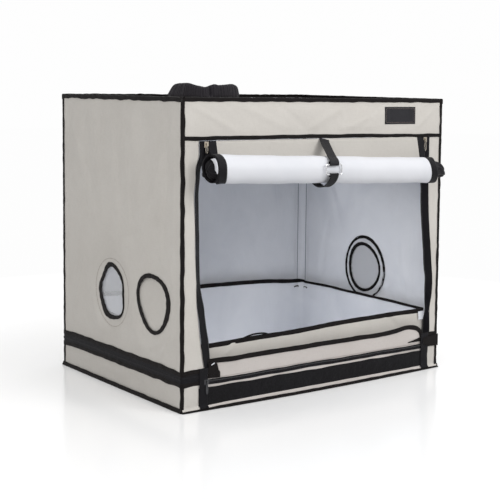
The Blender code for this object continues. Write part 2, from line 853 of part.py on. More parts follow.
def build_door(cloth, tape):
    """Door sheet and its two zip tapes, wound together into the roll."""
    path = door_path()
    sheet_half = DOOR_HALF - DOOR_TAPE_WIDTH
    tape_half = sheet_half + SEAM_GAP
    return [
        cloth_strip("door_roll", path, -sheet_half, sheet_half, DOOR_CLOTH, cloth),
        cloth_strip("door_tape_left", path, -DOOR_HALF, -tape_half, DOOR_CLOTH, tape),
        cloth_strip("door_tape_right", path, tape_half, DOOR_HALF, DOOR_CLOTH, tape),
    ]


def ring_angles():
    """Angles of the ring's upper and lower bars round the roll."""
    radius = ROLL_RADIUS + RING_STANDOFF
    half = RING_HEIGHT / 2 - RING_WIRE
    upper = math.pi - math.asin((RING_RISE + half) / radius)
    lower = math.pi - math.asin((RING_RISE - half) / radius)
    return radius, upper, lower


def bar_fold(bar_angle, radius, direction):
    """The fold of a strap round one bar of the ring, from front to back."""
    centre = roll_point(radius, bar_angle)
    fold = RING_WIRE + SEAM_GAP + STRAP_CLOTH / 2
    points = []
    for step in range(STRAP_STEPS + 1):
        angle = bar_angle + direction * math.pi * step / STRAP_STEPS
        points.append((centre[0] + fold * math.cos(angle), centre[1] + fold * math.sin(angle)))
    tail_radius = radius - fold
    tail_angle = bar_angle - direction * STRAP_TAIL / tail_radius
    points.append(roll_point(tail_radius, tail_angle))
    return fold, points


def strap_upper_path():
    """From the header seam over the front of the roll to the ring."""
    radius, upper, _ = ring_angles()
    fold, folded = bar_fold(upper, radius, 1)
    out = DOOR_CLOTH / 2 + SEAM_GAP + STRAP_CLOTH / 2
    start = (DOOR_HINGE.y - out, DOOR_HINGE.z - STRAP_TOP_DROP)
    lie = ROLL_RADIUS + SEAM_GAP + STRAP_CLOTH / 2
    first = tangent_angle(start, lie, 1)
    points = [start]
    for step in range(STRAP_STEPS):
        share = step / STRAP_STEPS
        angle = first + (upper - first) * share
        points.append(roll_point(lie + (radius + fold - lie) * ease(share), angle))
    return points + folded


def strap_lower_path():
    """From the ring under the roll and up behind it to the seam."""
    radius, _, lower = ring_angles()
    fold, folded = bar_fold(lower, radius, -1)
    lie = ROLL_RADIUS + SEAM_GAP + STRAP_CLOTH / 2
    back = DOOR_CLOTH / 2 + SEAM_GAP + STRAP_CLOTH / 2
    end = (DOOR_HINGE.y + back, DOOR_HINGE.z)
    last = tangent_angle(end, lie, -1) + 2 * math.pi
    points = list(reversed(folded))
    steps = 3 * STRAP_STEPS
    for step in range(1, steps + 1):
        share = step / steps
        angle = lower + (last - lower) * share
        points.append(roll_point(lie + (radius + fold - lie) * ease(1 - 2 * share), angle))
    return points + [end]


def turn_of(point):
    """Angle of a point round the roll's axis."""
    return math.atan2(point[1] - ROLL_Z, point[0] - ROLL_Y)


def slanted(points, angle):
    """Adds the strap's sideways slide to its path.

    The slide grows from nothing at the header seam to its full value under
    the roll. The angle is followed from point to point, past a full turn.
    """
    seam = turn_of((DOOR_HINGE.y, DOOR_HINGE.z))
    under = 3 * math.pi / 2
    path = []
    for point in points:
        step = (turn_of(point) - angle + math.pi) % (2 * math.pi) - math.pi
        angle += step
        slide = -STRAP_SKEW * ease((angle - seam) / (under - seam))
        path.append((point[0], point[1], slide))
    return path


def build_strap(webbing, metal):
    """Strap round the roll, in two lengths that meet at a ring."""
    low, high = STRAP_X - STRAP_WIDTH / 2, STRAP_X + STRAP_WIDTH / 2
    pieces = []
    radius, upper, lower = ring_angles()
    for name, points, angle in (
        ("roll_strap_upper", strap_upper_path(), math.pi / 2),
        ("roll_strap_lower", strap_lower_path(), math.pi),
    ):
        path = slanted(points, angle)
        pieces.append(cloth_strip(name, path, low, high, STRAP_CLOTH, webbing))
    top = Vector((0, *roll_point(radius, upper)))
    bottom = Vector((0, *roll_point(radius, lower)))
    middle = (top + bottom) / 2
    middle.x = STRAP_X + slanted([(middle.y, middle.z)], math.pi)[0][2]
    half_width = RING_WIDTH / 2 - RING_WIRE
    half_height = (top - bottom).length / 2
    low_corner, high_corner = (-half_width, -half_height), (half_width, half_height)
    loop = rounded_rectangle(low_corner, high_corner, RING_CORNER, RING_STEPS)
    data = bpy.data.curves.new("strap_ring", "CURVE")
    data.dimensions = "3D"
    data.bevel_depth = RING_WIRE
    data.bevel_resolution = 2
    spline = data.splines.new("POLY")
    spline.points.add(len(loop) - 1)
    for point, (across, up) in zip(spline.points, loop):
        point.co = (across, up, 0, 1)
    spline.use_cyclic_u = True
    ring = add_object("strap_ring", data, metal)
    lean = math.atan2(top.y - bottom.y, top.z - bottom.z)
    ring.matrix_world = Matrix.Translation(middle) @ Matrix.Rotation(math.pi / 2 - lean, 4, "X")
    return pieces + [ring]


def build_tray(lining, tape):
    """Waterproof spill tray with its bound rim."""
    half_x = RAIL_X - TUBE_RADIUS - TRAY_ROOM
    half_y = RAIL_Y - TUBE_RADIUS - TRAY_ROOM
    rim_low = TRAY_HEIGHT - TRAY_RIM_HEIGHT
    low = WALL_LOW
    high = rim_low - SEAM_GAP
    shape = bmesh.new()
    size = Vector((2 * half_x, 2 * half_y, high - low))
    bmesh.ops.create_cube(shape, size=1.0, matrix=Matrix.Diagonal((*size, 1.0)))
    uprights = [edge for edge in shape.edges if abs((edge.verts[0].co - edge.verts[1].co).z) > high / 2]
    bmesh.ops.bevel(shape, geom=uprights, offset=TRAY_CORNER, segments=CORNER_STEPS, affect="EDGES")
    lid = max(shape.faces, key=face_height)
    bmesh.ops.delete(shape, geom=[lid], context="FACES_ONLY")
    data = bpy.data.meshes.new("spill_tray")
    shape.to_mesh(data)
    shape.free()
    tray = add_object("spill_tray", data, lining)
    tray.location = (0, 0, (low + high) / 2)
    solidify(tray, TRAY_CLOTH, -1)
    over = (TRAY_RIM_WIDTH - TRAY_CLOTH) / 2
    outer_x, outer_y = half_x + over, half_y + over
    outer = rounded_rectangle((-outer_x, -outer_y), (outer_x, outer_y), TRAY_CORNER, CORNER_STEPS)
    inner_x, inner_y = half_x - TRAY_CLOTH - over, half_y - TRAY_CLOTH - over
    inner_corner = TRAY_CORNER - TRAY_RIM_WIDTH / 2
    inner = rounded_rectangle((-inner_x, -inner_y), (inner_x, inner_y), inner_corner, CORNER_STEPS)
    height = rim_low + TRAY_RIM_HEIGHT / 2
    rim = outline("tray_rim", [outer, inner], TRAY_RIM_HEIGHT, tape, None, (0, 0, height))
    return [tray, rim]


def build_vent_rings(tape):
    """Bound rings round the three holes in the side walls."""
    spots = (
        ("left_vent_ring", -1, LEFT_VENT_Y),
        ("duct_port_ring", -1, PORT_Y),
        ("right_vent_ring", 1, RIGHT_VENT_Y),
    )
    for name, side, y in spots:
        loops = [circle((0, 0), VENT_HOLE_RADIUS + VENT_RING_WIDTH), circle((0, 0), VENT_HOLE_RADIUS)]
        place = (side * (HALF_WIDTH - TAPE / 2), y, VENT_HEIGHT)
        outline(name, loops, TAPE, tape, SIDEWAYS, place)


def net_loops():
    """A bound disc with a square mesh inside its edge."""
    loops = [circle((0, 0), NET_RADIUS)]
    reach = NET_RADIUS - NET_EDGE
    count = math.ceil(reach / NET_PITCH)
    half = (NET_PITCH - NET_THREAD) / 2
    for row in range(-count, count + 1):
        for column in range(-count, count + 1):
            x, y = column * NET_PITCH, row * NET_PITCH
            if math.hypot(abs(x) + half, abs(y) + half) < reach:
                loops.append(rectangle((x - half, y - half), (x + half, y + half)))
    return loops


def build_vent_nets(net):
    """Insect nets sewn to the inside of the two middle vents."""
    for name, side, y in (("left_vent_net", -1, LEFT_VENT_Y), ("right_vent_net", 1, RIGHT_VENT_Y)):
        x = side * (LINING_X - SEAM_GAP - TAPE / 2)
        outline(name, net_loops(), TAPE, net, SIDEWAYS, (x, y, VENT_HEIGHT))


def build_vent_covers(cloth):
    """Inner flap of the duct port and outer cover of the right vent."""
    half = PORT_FLAP_WIDTH / 2
    flap_loop = rounded_rectangle((-half, -PORT_FLAP_RISE - PORT_FLAP_FALL), (half, 0), PORT_FLAP_CORNER)
    flap_x = -LINING_X + SEAM_GAP + CLOTH / 2
    flap_place = (flap_x, PORT_Y, VENT_HEIGHT + PORT_FLAP_RISE)
    flap = outline("duct_port_flap", [flap_loop], CLOTH, cloth, SIDEWAYS, flap_place)
    cover_x = HALF_WIDTH + SEAM_GAP + CLOTH / 2
    cover_place = (cover_x, RIGHT_VENT_Y, VENT_HEIGHT + COVER_RADIUS)
    cover = outline("right_vent_cover", [circle((0, -COVER_RADIUS), COVER_RADIUS)], CLOTH, cloth, SIDEWAYS, cover_place)
    return flap, cover


def build_duct_sleeve(webbing):
    """Duct sleeve, pushed down into folds round the roof's port.

    The profile goes up the outside with one bulge for each fold, over the
    drawn-in lip and halfway down the inside.
    """
    inner = DUCT_RADIUS + SLEEVE_CLOTH
    top = SLEEVE_HEIGHT - SLEEVE_CLOTH
    profile = []
    side_steps = 3 * SLEEVE_FOLDS
    for step in range(side_steps + 1):
        share = step / side_steps
        swell = abs(math.sin(math.pi * SLEEVE_FOLDS * share))
        lean = SLEEVE_BULGE * (1 - share / 2)
        profile.append((inner + SLEEVE_CLOTH * 2 + lean * (1 + swell) / 2, top * share))
    profile.append((inner, top))
    profile.append((inner, top / 2))
    profile.reverse()
    data = bpy.data.meshes.new("duct_sleeve")
    edges = [(index, index + 1) for index in range(len(profile) - 1)]
    data.from_pydata([(radius, 0, height) for radius, height in profile], edges, [])
    sleeve = add_object("duct_sleeve", data, webbing)
    sleeve.location = (DUCT_X, DUCT_Y, ROOF_TOP + SEAM_GAP + SLEEVE_CLOTH / 2)
    screw = sleeve.modifiers.new("turn", "SCREW")
    screw.steps = SLEEVE_STEPS
    screw.render_steps = SLEEVE_STEPS
    screw.use_merge_vertices = True
    screw.merge_threshold = SEAM_GAP / 10
    screw.use_normal_calculate = True
    solidify(sleeve, SLEEVE_CLOTH, 0)
    return sleeve


def build_label(webbing):
    """Plain woven patch on the header."""
    top = TENT_HEIGHT - LABEL_DROP / 2
    slab(
        "label_patch",
        (LABEL_X - LABEL_WIDTH / 2, -HALF_DEPTH, top - LABEL_HEIGHT),
        (LABEL_X + LABEL_WIDTH / 2, -HALF_DEPTH + TAPE, top),
        webbing,
    )


def build_tent():
    """Builds every piece in order."""
    cover_cloth = Finish("cover_cloth", (0.597, 0.578, 0.546), 0.85)
    lining = Finish("silver_lining", (0.775, 0.783, 0.815), 0.55)
    black_tape = Finish("black_tape", (0.012, 0.011, 0.011), 0.80)
    black_webbing = Finish("black_webbing", (0.018, 0.017, 0.018), 0.75)
    white_steel = Finish("white_steel", (0.80, 0.80, 0.80), 0.35)
    white_plastic = Finish("white_plastic", (0.82, 0.82, 0.80), 0.45)
    zinc = Finish("zinc", (0.56, 0.55, 0.52), 0.30, 1.0)
    chrome = Finish("chrome", (0.80, 0.80, 0.80), 0.12, 1.0)
    net = Finish("insect_net", (0.78, 0.78, 0.78), 0.70)
    build_frame(white_steel, white_plastic)
    build_hanger_bars(white_steel)
    build_cover(cover_cloth, black_webbing)
    build_front_base(cover_cloth)
    build_sill_flap(cover_cloth)
    build_bindings(black_tape)
    build_side_zip(black_tape)
    build_door_zip(black_tape)
    build_zip_hardware(zinc)
    build_hook_band(black_webbing)
    door = build_door(lining, black_tape) + build_strap(black_webbing, chrome)
    joint_group("door_pivot", DOOR_HINGE, door)
    joint_group("tray_lift", (0, 0, 0), build_tray(lining, black_tape))
    build_vent_rings(black_tape)
    build_vent_nets(net)
    build_vent_covers(cover_cloth)
    build_duct_sleeve(black_webbing)
    build_label(black_webbing)


PARTS, CUTTERS = clear_scene()
build_tent()
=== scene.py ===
"""Looks of a small indoor grow tent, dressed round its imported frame.

The tent's soft parts are rebuilt as cloth: panels that sag and crease between
their seams, binding tape that wanders, a wound door with its strap, a spill
tray, vents and a slack duct sleeve. Metres, +Z up, the door side faces -Y.
"""

import logging
import math
from dataclasses import dataclass, field, replace
from enum import Enum
from math import pi, tau
from typing import Callable, Optional, Sequence
import bpy
import numpy as np
from mathutils import Matrix
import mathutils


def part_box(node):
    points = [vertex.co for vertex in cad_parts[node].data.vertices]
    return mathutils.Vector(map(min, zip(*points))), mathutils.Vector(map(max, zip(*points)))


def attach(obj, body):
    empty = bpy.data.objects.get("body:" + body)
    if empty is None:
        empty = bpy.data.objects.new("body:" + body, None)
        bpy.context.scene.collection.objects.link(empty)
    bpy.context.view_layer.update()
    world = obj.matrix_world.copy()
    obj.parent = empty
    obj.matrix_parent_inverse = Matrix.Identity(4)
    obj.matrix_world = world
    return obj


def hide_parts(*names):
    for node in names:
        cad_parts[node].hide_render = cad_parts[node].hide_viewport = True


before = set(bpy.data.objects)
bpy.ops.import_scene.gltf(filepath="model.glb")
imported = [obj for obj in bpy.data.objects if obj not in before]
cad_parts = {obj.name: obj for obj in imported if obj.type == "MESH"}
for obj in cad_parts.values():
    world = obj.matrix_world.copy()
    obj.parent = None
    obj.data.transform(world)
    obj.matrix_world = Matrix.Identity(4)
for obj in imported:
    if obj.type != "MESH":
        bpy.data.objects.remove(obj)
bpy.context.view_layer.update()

Array = np.ndarray
Socket = bpy.types.NodeSocket
Vector = Sequence[float]
Vectors = np.ndarray | Vector
Values = np.ndarray | float
log = logging.getLogger("grow_tent")

MM = 0.001
ACROSS, UP, FRONT = (1.0, 0.0, 0.0), (0.0, 0.0, 1.0), (0.0, -1.0, 0.0)


def smooth(share: Array) -> Array:
    """Smooth step: 3s^2 - 2s^3 on a share clipped to 0 and 1."""
    share = np.clip(share, 0.0, 1.0)
    return share * share * (3 - 2 * share)


def wander(along: Array, seed: int, wave: float, reach: float) -> Array:
    """A smooth random wander along a length.

    The sum of five sines, whose waves spread from 0.55 to 2.3 times the given
    one and whose phases come from the seed.

    Args:
        along: Distances along the seam or path, in metres.
        seed: Seed of the phases.
        wave: Middle wavelength in metres.
        reach: Usual size of the wander in metres.

    Returns:
        One offset for each distance.
    """
    random = np.random.default_rng(seed)
    scales = np.array([0.55, 0.8, 1.1, 1.6, 2.3])
    phases = random.uniform(0, tau, scales.size)
    weights = np.array([0.35, 0.5, 0.7, 0.6, 0.5])
    angle = np.asarray(along)[..., None] * (tau / (wave * scales)) + phases
    return reach * (np.sin(angle) * weights).sum(-1) / weights.sum() * 1.6


def unit(vectors: Array) -> Array:
    """Vectors scaled to a length of one."""
    length = np.linalg.norm(vectors, axis=-1, keepdims=True)
    return vectors / np.maximum(length, 1e-12)


def full_turn(count: int) -> Array:
    """Angles evenly round a full turn."""
    return np.linspace(0, tau, count, endpoint=False)


def bell(place: Array, middle: float, reach: float) -> Array:
    """A bell curve of height one round a middle."""
    return np.exp(-(((place - middle) / reach) ** 2))


def joined(*parts: Values) -> Array:
    """Coordinates side by side on a last axis, each of them stretched to the others' shape."""
    return np.stack(np.broadcast_arrays(*parts), -1)


def read_at(places: Array, run: Array, table: Array) -> Array:
    """Rows of a table whose own rows stand at the lengths run, read at other places."""
    return np.stack([np.interp(places, run, column) for column in table.T], -1)


def corners(node: str) -> tuple[Array, Array]:
    """Lowest and highest corner of a node of the frame, as arrays."""
    low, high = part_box(node)
    return np.array(low), np.array(high)


def curve_through(knots: Sequence[Vector], count: int) -> Array:
    """A smooth open curve through given points.

    A Catmull-Rom spline: each span is a cubic through its two knots, with
    tangents along the line between the knots on either side.

    Args:
        knots: Points that the curve passes through.
        count: Number of points wanted.

    Returns:
        The points, evenly spaced in the spline's parameter.
    """
    knots = np.asarray(knots, float)
    ends = np.vstack([2 * knots[0] - knots[1], knots, 2 * knots[-1] - knots[-2]])
    place = np.linspace(0, len(knots) - 1, count)
    span = np.minimum(place.astype(int), len(knots) - 2)
    t = (place - span)[:, None]
    p0, p1, p2, p3 = (ends[span + step] for step in range(4))
    bend, twist = 2 * p0 - 5 * p1 + 4 * p2 - p3, 3 * p1 - p0 - 3 * p2 + p3
    return 0.5 * (2 * p1 + (p2 - p0) * t + bend * t**2 + twist * t**3)


def lengths_along(path: Array) -> Array:
    """Distance of each point of a path from its start."""
    steps = np.linalg.norm(np.diff(path, axis=0), axis=1)
    return np.concatenate([[0.0], np.cumsum(steps)])


def tangents(path: Array, closed: bool = False) -> Array:
    """Unit direction of a path at each of its points."""
    if closed:
        return unit(np.roll(path, -1, axis=0) - np.roll(path, 1, axis=0))
    return unit(np.gradient(path, axis=0))


@dataclass(frozen=True)
class Wavy:
    """A size round a circle: its mean and a few slow lobes.

    Attributes:
        mean: Mean size in metres.
        lobes: For each lobe, its number round the circle, its height in
            millimetres and the angle of a crest in degrees.
    """

    mean: float
    lobes: tuple[tuple[int, float, float], ...] = ()

    def at(self, angle: Array) -> Array:
        """The size at given angles."""
        total = self.mean + 0.0 * angle
        for count, height, crest in self.lobes:
            total = total + height * MM * np.cos(count * (angle - math.radians(crest)))
        return total


@dataclass(frozen=True)
class Ring:
    """A hand-sewn ring of tape: the radius of its middle, and its width."""

    middle: Wavy
    width: Wavy

    def hole(self, angle: Array) -> Array:
        """Radius of the cloth's cut edge, which the ring covers."""
        return self.middle.at(angle) - 0.15 * self.width.at(angle)


@dataclass(frozen=True)
class Hole:
    """A hole in a panel, centred at a distance across and up it."""

    across: float
    up: float
    edge: Callable[[Array], Array]


@dataclass
class Patch:
    """A grid of points with its place on the cloth.

    Attributes:
        points: Rows x columns x 3, in metres.
        cloth: Rows x columns x 2, distances along the cloth in metres.
        finish: Index of the material.
        wrap_rows: True if the last row joins the first.
        wrap_columns: True if the last column joins the first.
        capped: True if the two end rows are closed with a face.
        kept: Which faces are kept, or None for all.
    """

    points: Array
    cloth: Array
    finish: int = 0
    wrap_rows: bool = False
    wrap_columns: bool = False
    capped: bool = False
    kept: Optional[Array] = None

    def faces(self) -> Array:
        """Corner indices of the quads among the patch's points."""
        rows, columns = self.points.shape[:2]
        grid = np.arange(rows * columns).reshape(rows, columns)
        if self.wrap_rows:
            grid = np.vstack([grid, grid[:1]])
        if self.wrap_columns:
            grid = np.hstack([grid, grid[:, :1]])
        quads = np.stack([grid[:-1, :-1], grid[:-1, 1:], grid[1:, 1:], grid[1:, :-1]], axis=-1)
        return quads[self.kept] if self.kept is not None else quads.reshape(-1, 4)

    def caps(self) -> list[Array]:
        """The two end faces of a closed strip, if it is capped."""
        rows, columns = self.points.shape[:2]
        start = np.arange(columns)
        return [start, (start + (rows - 1) * columns)[::-1]] if self.capped else []


def signed_volume(points: Array, quads: Array) -> float:
    """Six times the volume inside a mesh of quads, negative if it is inside out."""
    a, b, c, d = (points[quads[:, corner]] for corner in range(4))
    first = np.einsum("ij,ij->i", a, np.cross(b, c)).sum()
    return float(first + np.einsum("ij,ij->i", a, np.cross(c, d)).sum())


class Turned(Enum):
    """How a piece's faces are made to point outwards."""

    AS_MADE = 0
    BY_VOLUME = 1
    TOWARDS = 2


def make_piece(
    name: str, patches: Sequence[Patch], finishes: Sequence[bpy.types.Material], turned: Turned, towards: Vector
) -> bpy.types.Object:
    """Puts patches into one mesh object.

    Args:
        name: Name of the piece.
        patches: The patches, which share no points.
        finishes: Materials, in the order that the patches' indices name.
        turned: How the faces are turned outwards.
        towards: Direction that an open sheet's faces point in.

    Returns:
        The object, at the world's origin.
    """
    quads, caps, slots, cap_slots = [], [], [], []
    first = 0
    for patch in patches:
        block = patch.points.reshape(-1, 3)
        own, own_caps = patch.faces(), patch.caps()
        flip = False
        if turned is Turned.BY_VOLUME:
            flip = signed_volume(block - block.mean(0), own) < 0
        elif turned is Turned.TOWARDS:
            a, b, c = (block[own[:, corner]] for corner in (0, 1, 2))
            flip = float(np.cross(b - a, c - a).sum(0) @ np.asarray(towards, float)) < 0
        if flip:
            own = own[:, ::-1]
            own_caps = [cap[::-1] for cap in own_caps]
        quads.append(own + first)
        caps += [cap + first for cap in own_caps]
        slots.append(np.full(len(own), patch.finish))
        cap_slots += [patch.finish] * len(own_caps)
        first += len(block)
    points = np.concatenate([patch.points.reshape(-1, 3) for patch in patches])
    cloth = np.concatenate([patch.cloth.reshape(-1, 2) for patch in patches])
    quads = np.concatenate(quads)
    loops = np.concatenate([quads.ravel(), *caps])
    sizes = np.concatenate([np.full(len(quads), 4), [len(cap) for cap in caps]]).astype(int)
    starts = np.concatenate([[0], np.cumsum(sizes)[:-1]])
    mesh = bpy.data.meshes.new(name)
    mesh.vertices.add(len(points))
    mesh.loops.add(len(loops))
    mesh.polygons.add(len(sizes))
    mesh.vertices.foreach_set("co", points.astype(np.float32).ravel())
    mesh.loops.foreach_set("vertex_index", loops.astype(np.int32))
    mesh.polygons.foreach_set("loop_start", starts.astype(np.int32))
    mesh.polygons.foreach_set("material_index", np.concatenate([*slots, cap_slots]).astype(np.int32))
    mesh.polygons.foreach_set("use_smooth", np.ones(len(sizes), bool))
    mesh.update(calc_edges=True)
    mesh.uv_layers.new(name="cloth").data.foreach_set("uv", cloth[loops].astype(np.float32).ravel())
    mesh.validate()
    for finish in finishes:
        mesh.materials.append(finish)
    piece = bpy.data.objects.new(name, mesh)
    bpy.context.scene.collection.objects.link(piece)
    return piece


# Materials


def linear(hex_colour: str) -> tuple[float, float, float, float]:
    """An sRGB hex colour as linear red, green, blue and full alpha."""
    values = [int(hex_colour[at : at + 2], 16) / 255 for at in (0, 2, 4)]
    return (*[v / 12.92 if v <= 0.04045 else ((v + 0.055) / 1.055) ** 2.4 for v in values], 1.0)


def add_node(tree: bpy.types.NodeTree, kind: str, links: Optional[dict] = None, **settings) -> bpy.types.Node:
    """Adds a shader node with its settings and links.

    Args:
        tree: The material's node tree.
        kind: Blender's name for the node's type, without its first part.
        links: Input name or index to an output socket or a plain value.
        **settings: Properties of the node.

    Returns:
        The node.
    """
    node = tree.nodes.new(f"ShaderNode{kind}")
    for key, value in settings.items():
        setattr(node, key, value)
    for key, value in (links or {}).items():
        if isinstance(value, bpy.types.NodeSocket):
            tree.links.new(value, node.inputs[key])
        else:
            node.inputs[key].default_value = value
    return node


class Shading:
    """The nodes of one material."""

    def __init__(self, name: str) -> None:
        """Makes the material with only its shader, output and coordinates."""
        self.material = bpy.data.materials.new(name)
        self.material.use_nodes = True
        self.tree = self.material.node_tree
        self.tree.nodes.clear()
        self.shader = add_node(self.tree, "BsdfPrincipled")
        add_node(self.tree, "OutputMaterial", {"Surface": self.shader.outputs[0]})
        self.place = self.node("TexCoord", output="Object")

    def node(self, kind: str, links: Optional[dict] = None, output: str | int = 0, **settings) -> Socket:
        """Adds a node as add_node does, and gives one of its outputs."""
        return add_node(self.tree, kind, links, **settings).outputs[output]

    def noise(self, vector: Socket, scale: float, detail: float, distortion: float = 0.0) -> Socket:
        """A cloudy pattern, finer with more detail and more curled with more distortion."""
        links = {"Vector": vector, "Scale": scale, "Detail": detail, "Distortion": distortion}
        return self.node("TexNoise", links, "Fac")

    def spread(self, value: Socket, *limits: float, **settings) -> Socket:
        """Maps a value from the first two limits to the last two, and clips it there."""
        return self.node("MapRange", {0: value, **dict(enumerate(limits, 1))}, **settings)

    def math(self, operation: str, first: Socket, second: Socket) -> Socket:
        """Joins two values."""
        return self.node("Math", {0: first, 1: second}, operation=operation)

    def mix(self, share: Socket, colour: Socket | tuple, other: Socket | tuple) -> Socket:
        """Mixes two colours."""
        return self.node("Mix", {0: share, 6: colour, 7: other}, 2, data_type="RGBA")

    def bump(self, height: Socket, distance: float, strength: float = 1.0, below: Optional[Socket] = None) -> Socket:
        """Raises the surface by a pattern, on top of the bump below."""
        normal = {"Normal": below} if below else {}
        return self.node("Bump", {"Height": height, "Distance": distance, "Strength": strength, **normal})

    def finish(self, values: dict) -> bpy.types.Material:
        """Puts sockets or plain values on the shader's inputs, and gives the material."""
        for key, value in values.items():
            if isinstance(value, bpy.types.NodeSocket):
                self.tree.links.new(value, self.shader.inputs[key])
            else:
                self.shader.inputs[key].default_value = value
        return self.material


@dataclass(frozen=True)
class Finish:
    """What every finish has.

    Attributes:
        name: Common name of the finish.
        colour: Main colour, sRGB hex.
        shade: Colour of its darker or worn spots, sRGB hex.
        slot: Material of the frame that a piece of it stands for, if any. Not used.
        roughness: Middle roughness.
    """

    name: str
    colour: str
    shade: str
    slot: str = ""
    roughness: float = 0.4

    def tones(self) -> tuple:
        """The main colour and the shade, in linear light."""
        return linear(self.colour), linear(self.shade)


@dataclass(frozen=True)
class WovenCloth(Finish):
    """A plain woven cloth or tape, patterned on the piece's own cloth coordinates.

    Attributes:
        thread: Spacing of the threads drawn, in metres.
        relief: Height of the threads, in metres.
        crossed: True for a plain weave, False for ribs across the tape.
        sheen: How much the fibres light up at grazing angles.
        mottle: Share of the shade that the patches reach.
        crumple: Height of the small creases, in metres.
        crumple_size: Usual size of the small creases, in metres.
        specular: How strongly the yarn's surface shines.
        slub: Share of the shade that thick threads reach.
    """

    roughness: float = 0.7
    thread: float = 1.6 * MM
    relief: float = 0.06 * MM
    crossed: bool = True
    sheen: float = 0.1
    mottle: float = 0.5
    crumple: float = 0.3 * MM
    crumple_size: float = 25 * MM
    specular: float = 0.4
    slub: float = 0.12

    def make(self) -> bpy.types.Material:
        """Builds the material's nodes."""
        nodes = Shading(self.name)
        spot = nodes.node("TexCoord", output="UV")
        wave = {"Vector": spot, "Scale": 1 / self.thread / 3.14, "Distortion": 0.4, "Detail": 1.0}
        threads = nodes.node("TexWave", wave, "Fac", bands_direction="X")
        if self.crossed:
            threads = nodes.math("MAXIMUM", threads, nodes.node("TexWave", wave, "Fac", bands_direction="Y"))
        patches = {"Vector": nodes.place, "Scale": 9.0, "Detail": 4.0, "Roughness": 0.6}
        patches = nodes.spread(nodes.node("TexNoise", patches, "Fac"), 0.35, 0.7, 0.0, self.mottle)
        fine = nodes.noise(spot, 900.0, 2.0)
        amount = nodes.math("ADD", patches, nodes.spread(fine, 0.3, 0.8, 0.0, 0.25))
        # Thick threads are 0.3 mm wide; they are drawn 2 to 3 mm wide, so that they show
        for stretch in ((70.0, 420.0, 1.0), (420.0, 70.0, 1.0)):
            streak = nodes.noise(nodes.node("Mapping", {"Vector": spot, "Scale": stretch}), 1.0, 1.0)
            amount = nodes.math("ADD", amount, nodes.spread(streak, 0.45, 0.75, 0.0, self.slub))
        creases = nodes.noise(nodes.place, 1 / self.crumple_size, 3.0, 1.2)
        return nodes.finish({
            "Base Color": nodes.mix(amount, *self.tones()),
            "Roughness": nodes.spread(fine, 0.2, 0.8, self.roughness - 0.06, self.roughness + 0.08),
            "Normal": nodes.bump(creases, self.crumple, below=nodes.bump(threads, self.relief)),
            "Sheen Weight": self.sheen, "Sheen Roughness": 0.5, "Specular IOR Level": self.specular,
        })


@dataclass(frozen=True)
class LiningFilm(Finish):
    """Silver-white reflective lining, laminated to the cloth.

    A thin film with a faint grid of reinforcing threads and many soft creases,
    which give broad, slightly glossy changes of tone.

    Attributes:
        crease: Height of the creases, in metres.
        grid: Spacing of the reinforcing threads, in metres.
    """

    slot: str = "lining"
    roughness: float = 0.42
    crease: float = 5.0 * MM
    grid: float = 6 * MM

    def make(self) -> bpy.types.Material:
        """Builds the material's nodes."""
        nodes = Shading(self.name)
        cloud = nodes.noise(nodes.place, 6.0, 3.0, 0.8)
        cells = {"Vector": nodes.place, "Scale": 11.0, "Randomness": 1.0}
        creases = nodes.node("TexVoronoi", cells, "Distance", feature="SMOOTH_F1")
        drawn = nodes.noise(nodes.node("Mapping", {"Vector": nodes.place, "Scale": (1.0, 1.0, 0.4)}), 14.0, 2.0, 2.4)
        weave = {"Vector": nodes.node("TexCoord", output="UV"), "Scale": 1 / self.grid / 3.14}
        weave = nodes.node("TexWave", weave, "Fac", bands_direction="DIAGONAL")
        raised = nodes.bump(drawn, self.crease, 0.6, nodes.bump(creases, self.crease, 0.5))
        return nodes.finish({
            "Base Color": nodes.mix(nodes.spread(cloud, 0.35, 0.7, 0.0, 0.7), *self.tones()),
            "Normal": nodes.bump(weave, 0.02 * MM, below=raised),
            "Roughness": self.roughness, "Specular IOR Level": 0.5,
        })


@dataclass(frozen=True)
class HardFinish(Finish):
    """A metal, paint or moulded plastic, patterned on its place in the object.

    Attributes:
        metallic: 1 for bare metal and 0 for paint and plastic.
        spots: Size of the worn spots, in metres.
        peel: Height of the surface's unevenness, in metres.
        coat: Weight of a clear gloss over it.
    """

    metallic: float = 0.0
    spots: float = 4 * MM
    peel: float = 0.03 * MM
    coat: float = 0.0

    def make(self) -> bpy.types.Material:
        """Builds the material's nodes."""
        nodes = Shading(self.name)
        wear = nodes.noise(nodes.place, 1 / self.spots, 4.0)
        return nodes.finish({
            "Base Color": nodes.mix(nodes.spread(wear, 0.5, 0.72), *self.tones()),
            "Roughness": nodes.spread(wear, 0.3, 0.75, self.roughness - 0.08, self.roughness + 0.14),
            "Normal": nodes.bump(nodes.noise(nodes.place, 700.0, 2.0), self.peel),
            "Metallic": self.metallic, "Coat Weight": self.coat,
        })


COATED = WovenCloth("coated polyester", "d3cfc9", "c2bdb6", "cover_cloth", 0.66, sheen=0.05, slub=0.16, mottle=0.3,
                    specular=0.3)

